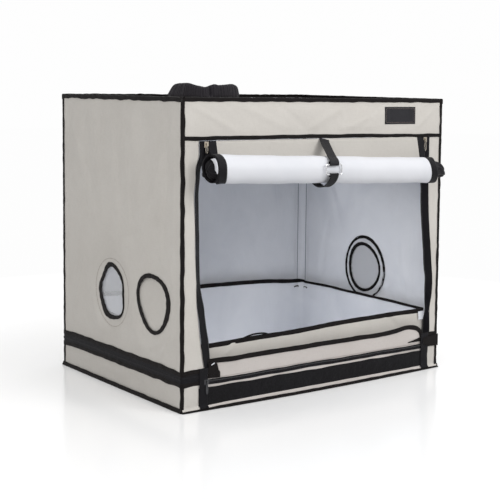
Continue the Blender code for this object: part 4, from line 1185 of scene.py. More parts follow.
@dataclass
class Doorway(Section):
    """The front: header, pillars, the curved zip tapes and the base below the door."""

    face_y: float = -283.7 * MM
    outer: float = 397.6 * MM
    inner: float = 347.7 * MM
    header_low: float = 609.5 * MM
    header_high: float = 702.4 * MM
    wall_low: float = 1.5 * MM
    cloth: float = 1.2 * MM
    tape_width: float = 20.7 * MM
    sill_top: float = 68.8 * MM
    strips: tuple = ((-341.5 * MM, 23 * MM), (351 * MM, 25.5 * MM))
    header: Panel = field(init=False)

    # Height, outer edge and turn of each zip tape, in millimetres and degrees
    left_leg: tuple = (
        (609, 355, 0), (590, 354.5, 4), (574, 355, 14), (559, 360.5, 22), (546, 363.6, 32), (524, 364, 36),
        (500, 366, 38), (479, 366.6, 38), (400, 364.5, 38),
        (295, 362, 38), (262, 361, 26), (236, 359, 12), (204, 354, 13), (168, 350, 7), (138, 346, 3),
        (107, 341, 13), (94, 338, 15), (84, 338, 14),
    )
    right_leg: tuple = (
        (609, 354, 0), (590, 354, 4), (565, 354, 20), (540, 354, 34), (470, 355, 42), (390, 360, 44),
        (290, 371, 44), (233, 377, 46), (195, 375, 72), (165, 369, 99), (150, 368, 104), (130, 369, 82),
        (105, 370, 76), (87, 370, 47), (80, 370, 30),
    )

    def panel(self, left: float, low: float, width: float, height: float, seed: int, **looks) -> Panel:
        """A panel in the front's face."""
        return Panel((left, self.face_y, low), ACROSS, width, height, seed, **looks)

    def front_cloth(self, name: str, patch: Patch, node: str, finishes: str = "cover lining", **sheet) -> None:
        """A lined cloth of the front, whose lowest hem stands out, most in the middle."""
        x, z = patch.points[..., 0], patch.points[..., 2]
        patch.points[..., 1] -= self.kick(x, z)
        self.add(name, patch, finishes, node, facing=FRONT, thickness=self.cloth, **sheet)

    @staticmethod
    def kick(x: Array, z: Array) -> Array:
        """How far the front stands out near the ground."""
        return (5 + 11 * (1 - (x / 0.4) ** 2)) * MM * smooth((12 * MM - z) / (11 * MM))

    @staticmethod
    def coil(path: Array, across: Vectors, out: Vectors, thickness: float) -> Patch:
        """A zip's coil: a bar that swells at every tooth."""
        swell = 0.75 + 0.35 * np.cos(np.arange(len(path)) * pi / 2)
        return swept(path, across, out, flat_section(3.2 * MM, thickness, 8, 0.8), swell, finish=1)

    def leg_edge(self, side: int, height: Array) -> tuple[Array, Array]:
        """Outer edge and turn of a zip tape at given heights, along smooth curves through its table."""
        fine = curve_through(self.left_leg if side < 0 else self.right_leg, 400)
        fine = fine[np.argsort(fine[:, 0])]
        edge, turn = read_at(height / MM, fine[:, 0], fine[:, 1:]).T
        return edge * MM, np.radians(turn)

    def build(self) -> None:
        """Builds the front's pieces."""
        self.build_header()
        for side, name in ((-1, "left"), (1, "right")):
            self.build_pillar(side, name)
        self.build_zip_legs()
        self.build_base()
        self.build_hook_band()
        self.build_label()

    def build_header(self) -> None:
        """The panel above the door, creased from its seam, and the seam's tape."""
        width, height = 2 * self.outer, self.header_high - self.header_low
        folds = creases(
            (0.03, 0.075, 0.15, 0.015, 8, 1.6), (0.14, 0.085, 0.30, 0.020, 9, 1.5), (0.27, 0.075, 0.36, 0.012, 8, -1.4),
            (0.34, 0.015, 0.47, 0.080, 10, 1.7), (0.44, 0.012, 0.58, 0.060, 8, 1.3),
            (0.58, 0.085, 0.52, 0.020, 9, -1.2), (0.70, 0.015, 0.78, 0.080, 8, 1.6),
        )
        self.header = self.panel(-self.outer, self.header_low, width, height, 121, billow=2.2 * MM, waves=0.9 * MM,
                                 edge=7 * MM, calm=((0.6475, 0.052, 0.030),), folds=folds)
        self.front_cloth("front_header_cloth", self.header.patch(3.5 * MM), "front_header", flat=(width, height),
                         held="stretched")
        run = np.linspace(-0.3975, 0.3975, 210)
        path = joined(
            run,
            self.face_y - 0.8 * MM - np.abs(wander(run, 131, 0.06, 0.4 * MM)),
            614 * MM - 3.5 * MM * smooth(run / 0.38) + wander(run, 133, 0.12, 0.7 * MM),
        )
        seam = ribbon(path, UP, 9 * MM + wander(run, 135, 0.05, 0.5 * MM), 1.5 * MM)
        self.add("header_seam_tape", seam, "tape", "door_zip")

    def build_pillar(self, side: int, name: str) -> None:
        """The cloth between the corner and the zip tape, cut to the tape's curve."""
        low, high, foot, inmost = self.wall_low, self.header_low, 84 * MM, self.inner - 1.2 * MM
        heights = np.linspace(low, high, 170)
        edge, _ = self.leg_edge(side, np.clip(heights, foot, None))
        near = np.where(heights < foot, self.inner, edge - 0.3 * MM) - inmost
        width = self.outer - inmost
        panel = self.panel(
            -self.outer if side < 0 else inmost, low, width, high - low, 140 + side, billow=1.6 * MM, waves=0.9 * MM,
            edge=3.5 * MM, seams=(0.076,),
            folds=(
                Fold((width * 0.55, 0.14), (width * 0.5, 0.33), 0.007, 1.6 * MM),
                Fold((width * 0.4, 0.36), (width * 0.6, 0.58), 0.008, -1.4 * MM),
            ),
        )
        limits = {"high": width - near} if side < 0 else {"low": near}
        self.front_cloth(f"{name}_pillar_cloth", panel.patch(3.5 * MM, **limits), f"front_pillar_{name}")

    def build_zip_legs(self) -> None:
        """The zip tapes down both sides of the door, with their coils.

        The tape's outer edge and its turn about the upright follow the tables;
        across it the section runs from that edge, turned back into the tent.
        """
        tapes, coils = [], []
        for side, (middle, strip_width) in zip((-1, 1), self.strips):
            height = np.linspace(608 * MM, 85 * MM, 240)
            edge, turn = self.leg_edge(side, height)
            across = joined(-side * np.cos(turn), np.sin(turn), 0.0)
            rim = joined(side * edge, self.face_y - 1.9 * MM, height)
            width = self.tape_width + wander(height, 150 + side, 0.07, 0.6 * MM)
            path = rim + across * (width / 2)[:, None]
            path[:, 1] -= np.abs(wander(height, 155 + side, 0.05, 0.4 * MM))
            tapes.append(ribbon(path, across, width, 1.3 * MM, 14))
            fine = -np.linspace(607 * MM, 85 * MM, 840)
            centre = read_at(fine, -height, rim + across * (width - 2.2 * MM)[:, None])
            sides = unit(read_at(fine, -height, across))
            outs = unit(np.cross(tangents(centre), sides)) * -side
            coils.append(self.coil(centre + outs * 1.0 * MM, sides, outs, 2.4 * MM))
            # The tape's foot on the base, and its closed top under the header
            foot = np.linspace(96 * MM, 5.0 * MM, 34)
            x = middle + wander(foot, 160 + side, 0.05, 0.8 * MM)
            y = self.face_y - 2.9 * MM - np.abs(wander(foot, 165 + side, 0.04, 0.5 * MM)) - self.kick(x, foot)
            tapes.append(ribbon(joined(x, y, foot), ACROSS, strip_width, 1.6 * MM))
            shut = joined(side * 0.333, self.face_y - 1.5 * MM, np.linspace(608 * MM, 566 * MM, 20))
            tapes.append(ribbon(shut, ACROSS, 12 * MM, 1.6 * MM))
        self.add("door_zip_tapes", [*tapes, *coils], "zip_tape coil", "door_zip")

    def build_base(self) -> None:
        """The front of the base below the door, and the base zip along its top."""
        panel = self.panel(-self.inner, self.wall_low, 2 * self.inner, self.sill_top - self.wall_low, 171,
                           billow=1.0 * MM, waves=0.5 * MM, edge=4 * MM, seams=(0.030,))
        self.front_cloth("front_base_cloth", panel.patch(2.5 * MM), "front_base", "base lining")
        run = np.linspace(-0.345, 0.345, 180)
        height = 62.3 * MM + wander(run, 173, 0.16, 0.8 * MM)
        path = joined(run, self.face_y - 1.2 * MM, height)
        tape = ribbon(path, UP, 12 * MM + wander(run, 175, 0.07, 0.7 * MM), 1.4 * MM)
        fine = np.linspace(-0.343, 0.343, 1100)
        middle = joined(fine, self.face_y - 2.2 * MM, np.interp(fine, run, height) + 2.2 * MM)
        self.add("base_zip_tape", [tape, self.coil(middle, UP, FRONT, 2.2 * MM)], "zip_tape coil", "door_zip")

    def build_hook_band(self) -> None:
        """The wide black fastener band across the base."""
        run = np.linspace(-0.3534, 0.3534, 260)[:, None]
        share = np.linspace(-1, 1, 15)
        low = 10.2 * MM + wander(run, 181, 0.11, 0.7 * MM)
        high = 50.6 * MM + wander(run, 183, 0.09, 0.9 * MM)
        z = (low + high) / 2 + share * (high - low) / 2
        puff = wander(run, 185, 0.05, 0.5 * MM) * (1 - share**2)
        y = self.face_y - 1.4 * MM - 0.5 * MM * (1 - share**4) - np.abs(puff)
        self.add("hook_band_cloth", Patch(joined(run, y, z), joined(run, z)), "loops", "hook_band", facing=FRONT,
                 thickness=1.2 * MM, flat=(0.7068, 0.0365), held="stretched")

    def build_label(self) -> None:
        """A plain woven patch on the header, hemmed and stitched round."""
        low, high = corners("label_patch")
        centre, half = (low + high) / 2, (high - low) / 2
        start = centre - (-self.outer, 0, self.header_low)
        across, up = np.meshgrid(np.linspace(-1, 1, 53) * half[0], np.linspace(-1, 1, 23) * half[2], indexing="ij")
        hem = np.minimum(half[0] - np.abs(across), half[2] - np.abs(up))
        proud = 1.0 * MM + 0.5 * MM * bell(hem, 2.5 * MM, 1.6 * MM) + 0.2 * MM * smooth(hem / 0.02)
        points = self.header.place(start[0] + across, start[2] + up, proud)
        self.add("plain_label", Patch(points, joined(across, up)), "patch", "label_patch", facing=FRONT,
                 thickness=0.9 * MM)
        w, h = half[0] - 4.2 * MM, half[2] - 4.2 * MM
        turns = np.array([(-w, -h), (w, -h), (w, h), (-w, h), (-w, -h)])
        steps = [np.linspace(a, b, 40)[:-1] for a, b in zip(turns[:-1], turns[1:])]
        loop = np.concatenate([*steps, turns[-1:]])
        path = self.header.place(loop[:, 0] + start[0], loop[:, 1] + start[2], 1.4 * MM)
        self.add("label_stitching", stitches(path, FRONT, 3.0 * MM, 1.2 * MM, 0.5 * MM, 0.4 * MM), "thread")


@dataclass
class DoorRoll(Section):
    """The door, rolled up under the header and held by a strap with a ring."""

    cloth: float = 1.2 * MM
    radius: float = 33.5 * MM
    pitch: float = 2.4 * MM
    turns: float = 2.2
    centre: tuple[float, float] = (-334.5 * MM, 538.0 * MM)
    hinge: tuple[float, float] = (-284.5 * MM, 608.3 * MM)
    slide: float = 27 * MM
    slope: float = -0.036
    level_x: float = -30 * MM
    door_half: float = 331.4 * MM
    tape_width: float = 19.2 * MM
    strap_width: float = 25 * MM
    strap_x: float = 1.5 * MM
    strap_slant: float = 64.5 * MM
    strap_cloth: float = 1.3 * MM
    strap_centre: tuple[float, float] = (-332.5 * MM, 537.5 * MM)
    strap_radius: float = 36.2 * MM
    ring_radius: float = 40.7 * MM
    ring_x: float = -38.3 * MM
    ring_rise: float = 3 * MM
    ring_half: float = 11.5 * MM
    wire: float = 1.6 * MM
    tail: float = 6 * MM

    @staticmethod
    def tangent(centre: Vector, point: Vector, radius: float, side: int) -> float:
        """Angle at which a line from a point touches a circle."""
        across, up = point[0] - centre[0], point[1] - centre[1]
        return math.atan2(up, across) + side * math.acos(radius / math.hypot(across, up))

    @staticmethod
    def around(centre: Vector, radius: Values, angle: Values) -> Array:
        """Points at angles round a centre, as Y and Z."""
        return joined(centre[0] + radius * np.cos(angle), centre[1] + radius * np.sin(angle))

    def drop(self, x: Values) -> Values:
        """How far the roll's axis lies above its own middle height at X."""
        return self.slope * (x - self.level_x)

    def door_line(self) -> tuple[Array, Array, Array]:
        """The door's section: from the seam to the back of the roll, then inwards round it.

        Returns:
            Y and Z of the line, how many turns each point has made (below zero
            on the curtain), and the outward direction at each point.
        """
        outer = self.radius - self.cloth / 2
        first = self.tangent(self.centre, self.hinge, outer, -1)
        share = np.linspace(0, 1, 10, endpoint=False)
        touch = self.around(self.centre, outer, first)
        curtain = np.array(self.hinge) + (touch - self.hinge) * share[:, None]
        turned = np.linspace(0, self.turns, round(self.turns * 56) + 1)
        angle = first - tau * turned
        wound = self.around(self.centre, outer - self.pitch * turned, angle)
        out = self.around((0, 0), 1.0, angle)
        return np.vstack([curtain, wound]), np.append(share - 1, turned), np.vstack([np.tile(out[:1], (10, 1)), out])

    def door_grid(self, low: float, high: float, columns: int, seed: int, sway: float) -> tuple[Array, Array]:
        """The cloth's points between two edges of the door.

        Rows follow the section and columns the width. Every point is pushed out
        or in by slow waves along and round the roll, slides sideways as the
        roll does, and rises or drops with the roll's slope.

        Args:
            low: Left edge of the strip.
            high: Right edge of the strip.
            columns: Number of columns.
            seed: Seed of the sideways wander of each winding.
            sway: Size of that wander.

        Returns:
            The points and their cloth coordinates.
        """
        line, turned, out = self.door_line()
        wound_turns = np.clip(turned, 0, None)
        across = low + (high - low) * np.linspace(0, 1, columns)
        drift = wander(turned, seed, 0.55, sway) * smooth(wound_turns * 3)
        x = across + (drift - self.slide * smooth(2 * wound_turns))[:, None]
        wound = smooth(np.clip(turned + 0.6, 0, 1) / 0.6)[:, None]
        angle = np.arctan2(out[:, 1], out[:, 0])[:, None]
        outer = np.exp(-wound_turns * 1.2)[:, None]
        dents = (
            0.8 * MM * np.sin(x * tau / 0.31 + 1.3 * np.sin(angle) + 0.8)
            + 0.5 * MM * np.sin(x * tau / 0.13 + 2.0 * angle + 2.1)
            + 0.3 * MM * np.sin(x * tau / 0.065 - 3.0 * angle)
            - 0.4 * MM
        )
        pinch = -1.6 * MM * bell(x, -0.038, 0.020)
        seam_run = np.clip(-turned, 0, 1)[:, None]
        ripple = 1.0 * MM * np.sin(x * tau / 0.17 + 0.6) * np.sin(seam_run * pi)
        off = (dents + pinch) * wound * (0.45 + 0.55 * outer) + ripple
        y = line[:, :1] + out[:, :1] * off
        z = line[:, 1:] + out[:, 1:] * off + self.drop(x) * np.clip(turned + 1, 0, 1)[:, None]
        return joined(x, y, z), joined(across, lengths_along(line)[:, None])

    def build(self) -> None:
        """Builds the door, its tapes, the strap and the ring."""
        self.build_sheet()
        self.build_tapes()
        self.build_ends()
        self.build_strap()

    def build_sheet(self) -> None:
        """The wound cloth: coated on the side that faced out, lining on the other."""
        half = self.door_half - self.tape_width
        points, cloth = self.door_grid(-half - 1 * MM, half + 1 * MM, 112, seed=201, sway=0.0)
        line, _, _ = self.door_line()
        # Both sides carry painted shade: the wound lining is a greyer copy of the lining, and the coated side a darker
        # copy of the cover
        self.add("rolled_door_cloth", Patch(points, cloth), "lining_roll door", "door_roll", "door",
                 thickness=self.cloth, offset=0.0, flipped=self.faces_inwards(points),
                 flat=(2 * half, float(lengths_along(line)[-1])), held="folded", rests_on=["roll_strap_lower"])

    def faces_inwards(self, points: Array) -> bool:
        """True if the grid's faces point towards the roll's axis."""
        row, column = 16, points.shape[1] // 2
        a, b, c = points[row, column], points[row, column + 1], points[row + 1, column]
        normal = np.cross(b - a, points[row + 1, column + 1] - a)
        return float(normal[1:] @ ((a + c)[1:] / 2 - self.centre)) < 0

    def build_tapes(self) -> None:
        """The door's half of each zip tape, wound up with it, and the loops at the ends."""
        inner = self.door_half - self.tape_width
        _, turned, out = self.door_line()
        seam = smooth((-turned - 0.55) / 0.45)[:, None]
        patches = []
        for side, seed, low, high in (
            (-1, 211, -self.door_half, -inner + 2 * MM), (1, 223, inner - 2 * MM, self.door_half)
        ):
            points, cloth = self.door_grid(low, high, 8, seed, sway=2.6 * MM)
            edge = np.linspace(0, 1, 8)[::side]
            flare = wander(turned, seed + 5, 0.21, 1.3 * MM)[:, None] * edge**2
            flare = flare + 0.9 * MM * np.clip(turned, 0, 0.6)[:, None]
            points += joined(side * 3.4 * MM * seam * edge, out[:, :1] * flare, out[:, 1:] * flare)
            patches.append(Patch(points, cloth))
        self.add("rolled_door_tapes", patches, "zip_tape", "door_tape_left door_tape_right", "door",
                 thickness=1.4 * MM, offset=0.0)

    def build_ends(self) -> None:
        """What shows at the roll's two ends.

        On the left the lining's edge shows as a crescent inside the last
        winding, and a short loop of tape reaches back to the zip. On the right
        the tape is bunched into a lump that tapers away from the roll.
        """
        left = -self.door_half - self.slide - 3.4 * MM
        degrees = np.linspace(105, 197, 30)[:, None]
        outer = 32.4 * MM - 9.8 * MM * smooth((138 - degrees) / 33)
        inner = 21.6 * MM + 9.0 * MM * smooth((degrees - 182) / 15)
        reach = inner + (outer - inner) * np.linspace(0, 1, 4)
        middle = (self.centre[0], self.centre[1] + self.drop(left))
        spots = self.around(middle, reach, np.radians(degrees))
        crescent = Patch(joined(left, spots[..., 0], spots[..., 1]), spots)
        # The lining's edge takes the roll's greyer copy of the film, with its painted shade
        self.add("rolled_lining_edge", crescent, "lining_roll", "", "door", facing=(-1, 0, 0), thickness=1.2 * MM)
        path = curve_through(
            ((-0.3455, -0.3175, 0.5360), (-0.3490, -0.3080, 0.5335), (-0.3510, -0.2985, 0.5330),
             (-0.3505, -0.2905, 0.5350)), 24,
        )
        across = unit(np.cross(tangents(path), [1.0, 0.0, 0.15]))
        loop = ribbon(path, across, 8.6 * MM + wander(np.linspace(0, 0.05, 24), 231, 0.03, 0.6 * MM), 1.3 * MM)
        self.add("door_tape_loop", loop, "zip_tape", "", "door")
        lumps = [
            self.lump(((-0.338, 0.5495, 0.0280), (-0.346, 0.5495, 0.0265), (-0.354, 0.5492, 0.0225),
                       (-0.361, 0.5490, 0.0170), (-0.3655, 0.5485, 0.0110), (-0.368, 0.5480, 0.0030))),
            self.lump(((0.286, 0.5268, 0.0318), (0.297, 0.5255, 0.0320), (0.312, 0.5262, 0.0262),
                       (0.326, 0.5268, 0.0212), (0.341, 0.5240, 0.0178), (0.352, 0.5195, 0.0125),
                       (0.3572, 0.5150, 0.0035))),
        ]
        self.add("bunched_door_tape", lumps, "zip_tape", "", "door")

    def lump(self, knots: Sequence[Vector]) -> Patch:
        """A bunch of gathered tape: pleated rounds along X, height and radius."""
        along, height, radius = curve_through(knots, 44).T[..., None]
        turn = full_turn(72)
        share = np.linspace(0, 1, 44)[:, None]
        pleats = 0.07 * np.cos(5 * turn + 2.2 * share) + 0.05 * np.cos(9 * turn - 3.0 * share + 1.0)
        pleats = pleats + 0.03 * np.cos(17 * turn + 4.0 * share)
        reach = radius * (1 - 0.07 + pleats * smooth(share / 0.25))
        x = along + 1.2 * MM * np.cos(3 * turn + 1)
        points = joined(x, self.centre[0] + reach * 0.96 * np.cos(turn), height + reach * np.sin(turn))
        return Patch(points, joined(share * 70 * MM, turn * 25 * MM), wrap_columns=True, capped=True)

    def bar_fold(self, direction: int) -> tuple[float, float, Array]:
        """The strap's fold round one bar of the ring, from front to back.

        Args:
            direction: 1 for the upper bar and -1 for the lower one.

        Returns:
            The bar's angle round the roll, the fold's radius, and its points.
        """
        bar = pi - math.asin((self.ring_rise + direction * self.ring_half) / self.ring_radius)
        fold = self.wire + 0.3 * MM + self.strap_cloth / 2
        centre = self.around(self.strap_centre, self.ring_radius, bar)
        points = self.around(centre, fold, bar + direction * np.linspace(0, pi, 15))
        inner = self.ring_radius - fold
        tail = self.around(self.strap_centre, inner, bar - direction * self.tail / inner)
        return bar, fold, np.vstack([points, tail])

    def strap_line(self, upper: bool) -> Array:
        """Y and Z of one length of the strap, from the seam to the ring or back."""
        lie = self.strap_radius + self.strap_cloth / 2
        gap = self.cloth / 2 + 0.4 * MM + self.strap_cloth / 2
        bar, fold, folded = self.bar_fold(1 if upper else -1)
        lift = self.ring_radius + fold - lie
        if upper:
            start = np.array([self.hinge[0] - gap, self.hinge[1] - 1 * MM])
            first = self.tangent(self.strap_centre, start, lie, 1)
            share = np.linspace(0, 1, 24, endpoint=False)
            wrapped = self.around(self.strap_centre, lie + lift * smooth(share), first + (bar - first) * share)
            drop = start + (wrapped[0] - start) * np.linspace(0, 1, 14, endpoint=False)[:, None]
            return np.vstack([drop, wrapped, folded])
        end = np.array([self.hinge[0] + gap, self.hinge[1]])
        last = self.tangent(self.strap_centre, end, lie, -1) + tau
        share = np.linspace(0, 1, 61)[1:]
        angle = bar + (last - bar) * share
        lifted = lie + lift * smooth(1 - 2 * share) + 3.5 * MM * bell(angle, 1.45 * pi, 0.5)
        wrapped = self.around(self.strap_centre, lifted, angle)
        rise = wrapped[-1] + (end - wrapped[-1]) * np.linspace(0, 1, 15)[1:, None]
        return np.vstack([folded[::-1], wrapped, rise])

    def build_strap(self) -> None:
        """The two lengths of ribbed webbing, which run straight at a slant round the roll."""
        section = flat_section(1.0, self.strap_cloth, 18, 0.3)
        section = section + joined(0.0, 0.35 * MM * np.cos(section[:, 0] * pi))
        # The upper length reaches the ring at its 39th point
        at_ring = 38
        for name, node, upper, first, last, sheet in (
            ("strap_from_header", "roll_strap_upper", True, self.strap_x, self.ring_x,
             {"held": "stretched", "with_pieces": ["strap_ring"]}),
            ("strap_under_roll", "roll_strap_lower", False, self.ring_x, self.strap_x - self.strap_slant,
             {"held": "folded", "with_pieces": []}),
        ):
            line = self.strap_line(upper)
            run = lengths_along(line)
            share = (run / run[-1]) ** 2
            if upper:
                fall = np.clip((line[0, 1] - line[:, 1]) / (line[0, 1] - line[at_ring, 1]), 0, 1)
                share = 0.5 * fall + 0.5 * np.clip(run / run[at_ring], 0, 1) ** 0.75
            path = np.column_stack([first + (last - first) * share, line])
            run = lengths_along(path)
            fine = np.linspace(0, run[-1], round(run[-1] / (1.3 * MM)))
            path = read_at(fine, run, path)
            along = tangents(path)
            out = unit(np.cross(ACROSS, unit(along * [0, 1, 1])))
            rib = 1 + 0.012 * np.cos(np.arange(len(path)) * pi)
            width = self.strap_width * (1 + wander(fine, 241, 0.06, 0.015)) * rib
            self.add(name, swept(path, unit(np.cross(out, along)), out, section, width), "webbing", node, "door",
                     flat=(self.strap_width, float(run[-1])), **sheet)


@dataclass
class SillFlap(Section):
    """The strip of cloth that covers the base zip when the door is shut."""

    left: float = -329.6 * MM
    right: float = 343.5 * MM
    low: float = 67.5 * MM
    high: float = 111.4 * MM
    face_y: float = -281.9 * MM
    cloth: float = 1.2 * MM

    # Height of the upper edge along X, in millimetres: level, then a hump and a rounded right end
    top_edge: tuple = (
        (-329.6, 111.4), (-180, 110.8), (0, 111.6), (181, 111.2), (245, 114.5), (284, 118.5), (311, 116.7),
        (328, 111.1), (339, 101.0), (343.5, 88.0),
    )

    # Knots and widths (the latter in millimetres) of the ragged tongue on the left and of the two
    # halves of the pointed tail on the right, which is split at the flap's end so that it can fold
    tails: tuple = (
        (((-0.3195, -0.2868, 0.1085), (-0.3180, -0.2869, 0.1035), (-0.3163, -0.2868, 0.0965),
          (-0.3146, -0.2852, 0.0849), (-0.3118, -0.2834, 0.0767), (-0.3120, -0.2831, 0.0700)),
         (20.0, 23.0, 26.6, 30.0, 36.0, 37.0)),
        (((0.2960, -0.2836, 0.0762), (0.3120, -0.2837, 0.0776), (0.3280, -0.2838, 0.0793),
          (0.3425, -0.2840, 0.0806)), (2.0, 4.5, 8.0, 11.5)),
        (((0.3458, -0.2880, 0.0763), (0.3560, -0.2884, 0.0745), (0.3700, -0.2884, 0.0740),
          (0.3990, -0.2884, 0.0738)), (17.0, 22.0, 26.0, 32.0)),
    )

    def top(self, run: Array) -> Array:
        """Height of the upper edge, with a slight waver."""
        edge = curve_through(self.top_edge, 300) * MM
        return np.interp(run, edge[:, 0], edge[:, 1]) + wander(run, 301, 0.13, 0.6 * MM) - 0.6 * MM

    def build(self) -> None:
        """Builds the cloth, its bound edge and the loose tape ends."""
        run = np.linspace(self.left, self.right, 200)[:, None]
        share = np.linspace(0, 1, 12)
        z = self.low + share * (self.top(run) - self.low)
        loose = smooth((run - 0.27) / 0.06)
        lean = share**2 * (2.6 * MM + wander(run, 303, 0.16, 1.8 * MM)) + 1.6 * MM * loose * share
        y = self.face_y - lean
        self.add("sill_flap_cloth", Patch(joined(run, y, z), joined(run, z)), "base lining", "sill_flap", "sill_flap",
                 facing=FRONT, thickness=self.cloth, flat=(self.right - self.left, self.high - self.low),
                 held="stretched")
        edge = joined(run[:, 0], y[:, -1] - 0.4 * MM + self.cloth / 2, z[:, -1] - 1.4 * MM)
        up = -unit(np.cross(tangents(edge), [0.0, 1.0, 0.0]))
        bound = ribbon(edge, up, 11.5 * MM + wander(lengths_along(edge), 305, 0.06, 0.6 * MM), 3.0 * MM, 14)
        ends = []
        for knots, widths in self.tails:
            path = curve_through(knots, 30)
            across = unit(np.cross(tangents(path), [0.0, 1.0, 0.0]))
            width = np.interp(np.linspace(0, 1, 30), np.linspace(0, 1, len(widths)), widths) * MM
            frayed = width * (1 + wander(np.linspace(0, 0.1, 30), 311, 0.02, 0.05))
            ends.append(ribbon(path, across, frayed, 1.3 * MM))
        self.add("sill_flap_binding", [bound, *ends[:2]], "tape", body="sill_flap")
        self.add("sewn_tape_ends", ends[2:], "tape")
        snippet = np.linspace((-0.3217, -0.2884, 0.1015), (-0.3129, -0.2884, 0.1052), 8)
        self.add("lining_snippet", ribbon(snippet, UP, 2.6 * MM, 0.7 * MM), "lining", body="sill_flap")


@dataclass
class SpillTray(Section):
    """The reflective tray that lies on the floor and stands up its sides."""

    half_x: float = 378.2 * MM
    half_y: float = 263.2 * MM
    low: float = 3.0 * MM
    rim: float = 155 * MM
    corner: float = 16 * MM
    cloth: float = 1.4 * MM

    def outline(self, count: int = 420) -> tuple[Array, Array]:
        """The tray's rounded outline, evenly spaced, and its outward directions."""
        x, y, r = self.half_x - self.corner, self.half_y - self.corner, self.corner
        spots = []
        for cx, cy, quarter in ((x, y, 0), (-x, y, 1), (-x, -y, 2), (x, -y, 3)):
            turn = np.linspace(quarter, quarter + 1, 12) * pi / 2
            spots.append(joined(cx + r * np.cos(turn), cy + r * np.sin(turn)))
        loop = np.concatenate([*spots, spots[0][:1]])
        run = lengths_along(loop)
        flat = read_at(np.linspace(0, run[-1], count, endpoint=False), run, loop)
        way = tangents(flat, closed=True)
        return flat, joined(way[:, 1], -way[:, 0])

    def rim_height(self, flat: Array, run: Array) -> Array:
        """Height of the rim, which sags at the front left and climbs towards the back left."""
        depth = (flat[:, 1] + self.half_y) / (2 * self.half_y)
        aside = (self.half_x - flat[:, 0]) / (2 * self.half_x)
        front = self.rim - 3.3 * MM - 12 * MM * smooth((0.24 - flat[:, 0]) / 0.5)
        front = front + 2.4 * MM * bell(flat[:, 0], -0.17, 0.07)
        back = self.rim + 2 * MM + 7 * MM * smooth(aside / 0.2) + 18 * MM * aside
        waver = 2 * MM * np.sin(pi * depth) + wander(run, 331, 0.22, 1.2 * MM) * (0.5 + 0.5 * depth)
        return front + (back - front) * depth + waver

    def build(self) -> None:
        """Builds the tray's cloth, its rim and its loops.

        The cloth's rows run from near the floor's middle outwards, round the
        bend and up the wall. Each is the outline, scaled and pushed outwards.
        """
        flat, out = self.outline()
        run = lengths_along(flat)
        high = self.rim_height(flat, run)
        level = np.ones(run.size)
        # Scale, height, push outwards and place on the cloth of each row
        rows = [
            (level * scale, level * self.low, level * 0, (scale - 1) * 0.3)
            for scale in np.linspace(0.03, 1.0, 26) ** 0.8 * 0.985
        ]
        for value in np.linspace(0, 1, 6)[1:]:
            bend = value * pi / 2
            height = self.low + 6 * MM * (1 - np.cos(bend))
            rows.append((level * (0.985 + 0.015 * np.sin(bend)), level * height, level * 0, value * 0.01))
        base = self.low + 6 * MM
        for value in np.linspace(0, 1, 26)[1:]:
            height = base + (high - base) * value
            waves = wander(run, 341, 0.19, 2.6 * MM) + wander(run + value * 0.05, 343, 0.08, 1.2 * MM)
            slack = -np.abs(waves) * (0.35 * value + 0.65 * np.sin(value * pi)) - 1.2 * MM * value
            rows.append((level, height, slack + self.front_creases(flat, height), 0.01 + value * 0.15))
        scale, z, push, place = (np.array(column) for column in zip(*rows))
        points = np.concatenate([flat * scale[..., None] + out * push[..., None], z[..., None]], -1)
        x, y = points[..., 0], points[..., 1]
        ripple = np.sin(x * 31 + 2.2 * np.sin(y * 17)) + 0.7 * np.sin(y * 43 + x * 12)
        points[..., 2] += smooth((1.0 - scale) / 0.08) * 0.7 * MM * (1 + 0.6 * ripple)
        sheet = Patch(points, joined(run, place[:, None]), wrap_columns=True)
        first, middle = points[0], points[0].mean(0)
        hub = Patch(np.stack([first, first * 0.5 + middle * 0.5, first * 0.02 + middle * 0.98]),
                    np.stack([sheet.cloth[0]] * 3), wrap_columns=True)
        points_down = np.cross(points[5, 1] - points[5, 0], points[6, 1] - points[5, 0])[2] < 0
        wide, deep, tall = 2 * self.half_x, 2 * self.half_y, self.rim
        self.add("spill_tray_cloth", [sheet, hub], "lining cover", "spill_tray", "tray", thickness=self.cloth,
                 flipped=points_down, flat=(wide + 2 * tall, deep + 2 * tall), held="folded",
                 area=wide * deep + 2 * (wide + deep) * (tall - self.low), rests_on=["floor_cloth"])
        top = np.column_stack([flat + out * push[-1][:, None], high - 0.5 * MM])
        width = 7 * MM + 4.6 * MM * np.abs(out[:, 1]) + wander(run, 351, 0.06, 0.6 * MM)
        rim = swept(top, UP, np.column_stack([out, 0 * run]), flat_section(1.0, 3.4 * MM, 14), width, closed=True)
        self.add("tray_rim_tape", rim, "tape", "tray_rim", "tray")
        self.build_loops()

    def front_creases(self, flat: Array, z: Array) -> Array:
        """Two slanting creases pressed into the front wall, as distances outwards."""
        folds = creases((-0.243, 0.134, -0.272, 0.108, 6, 2.4), (0.240, 0.150, 0.285, 0.110, 6, -2.6))
        return sum(fold.lift(flat[:, 0], z) for fold in folds) * (flat[:, 1] < 0)

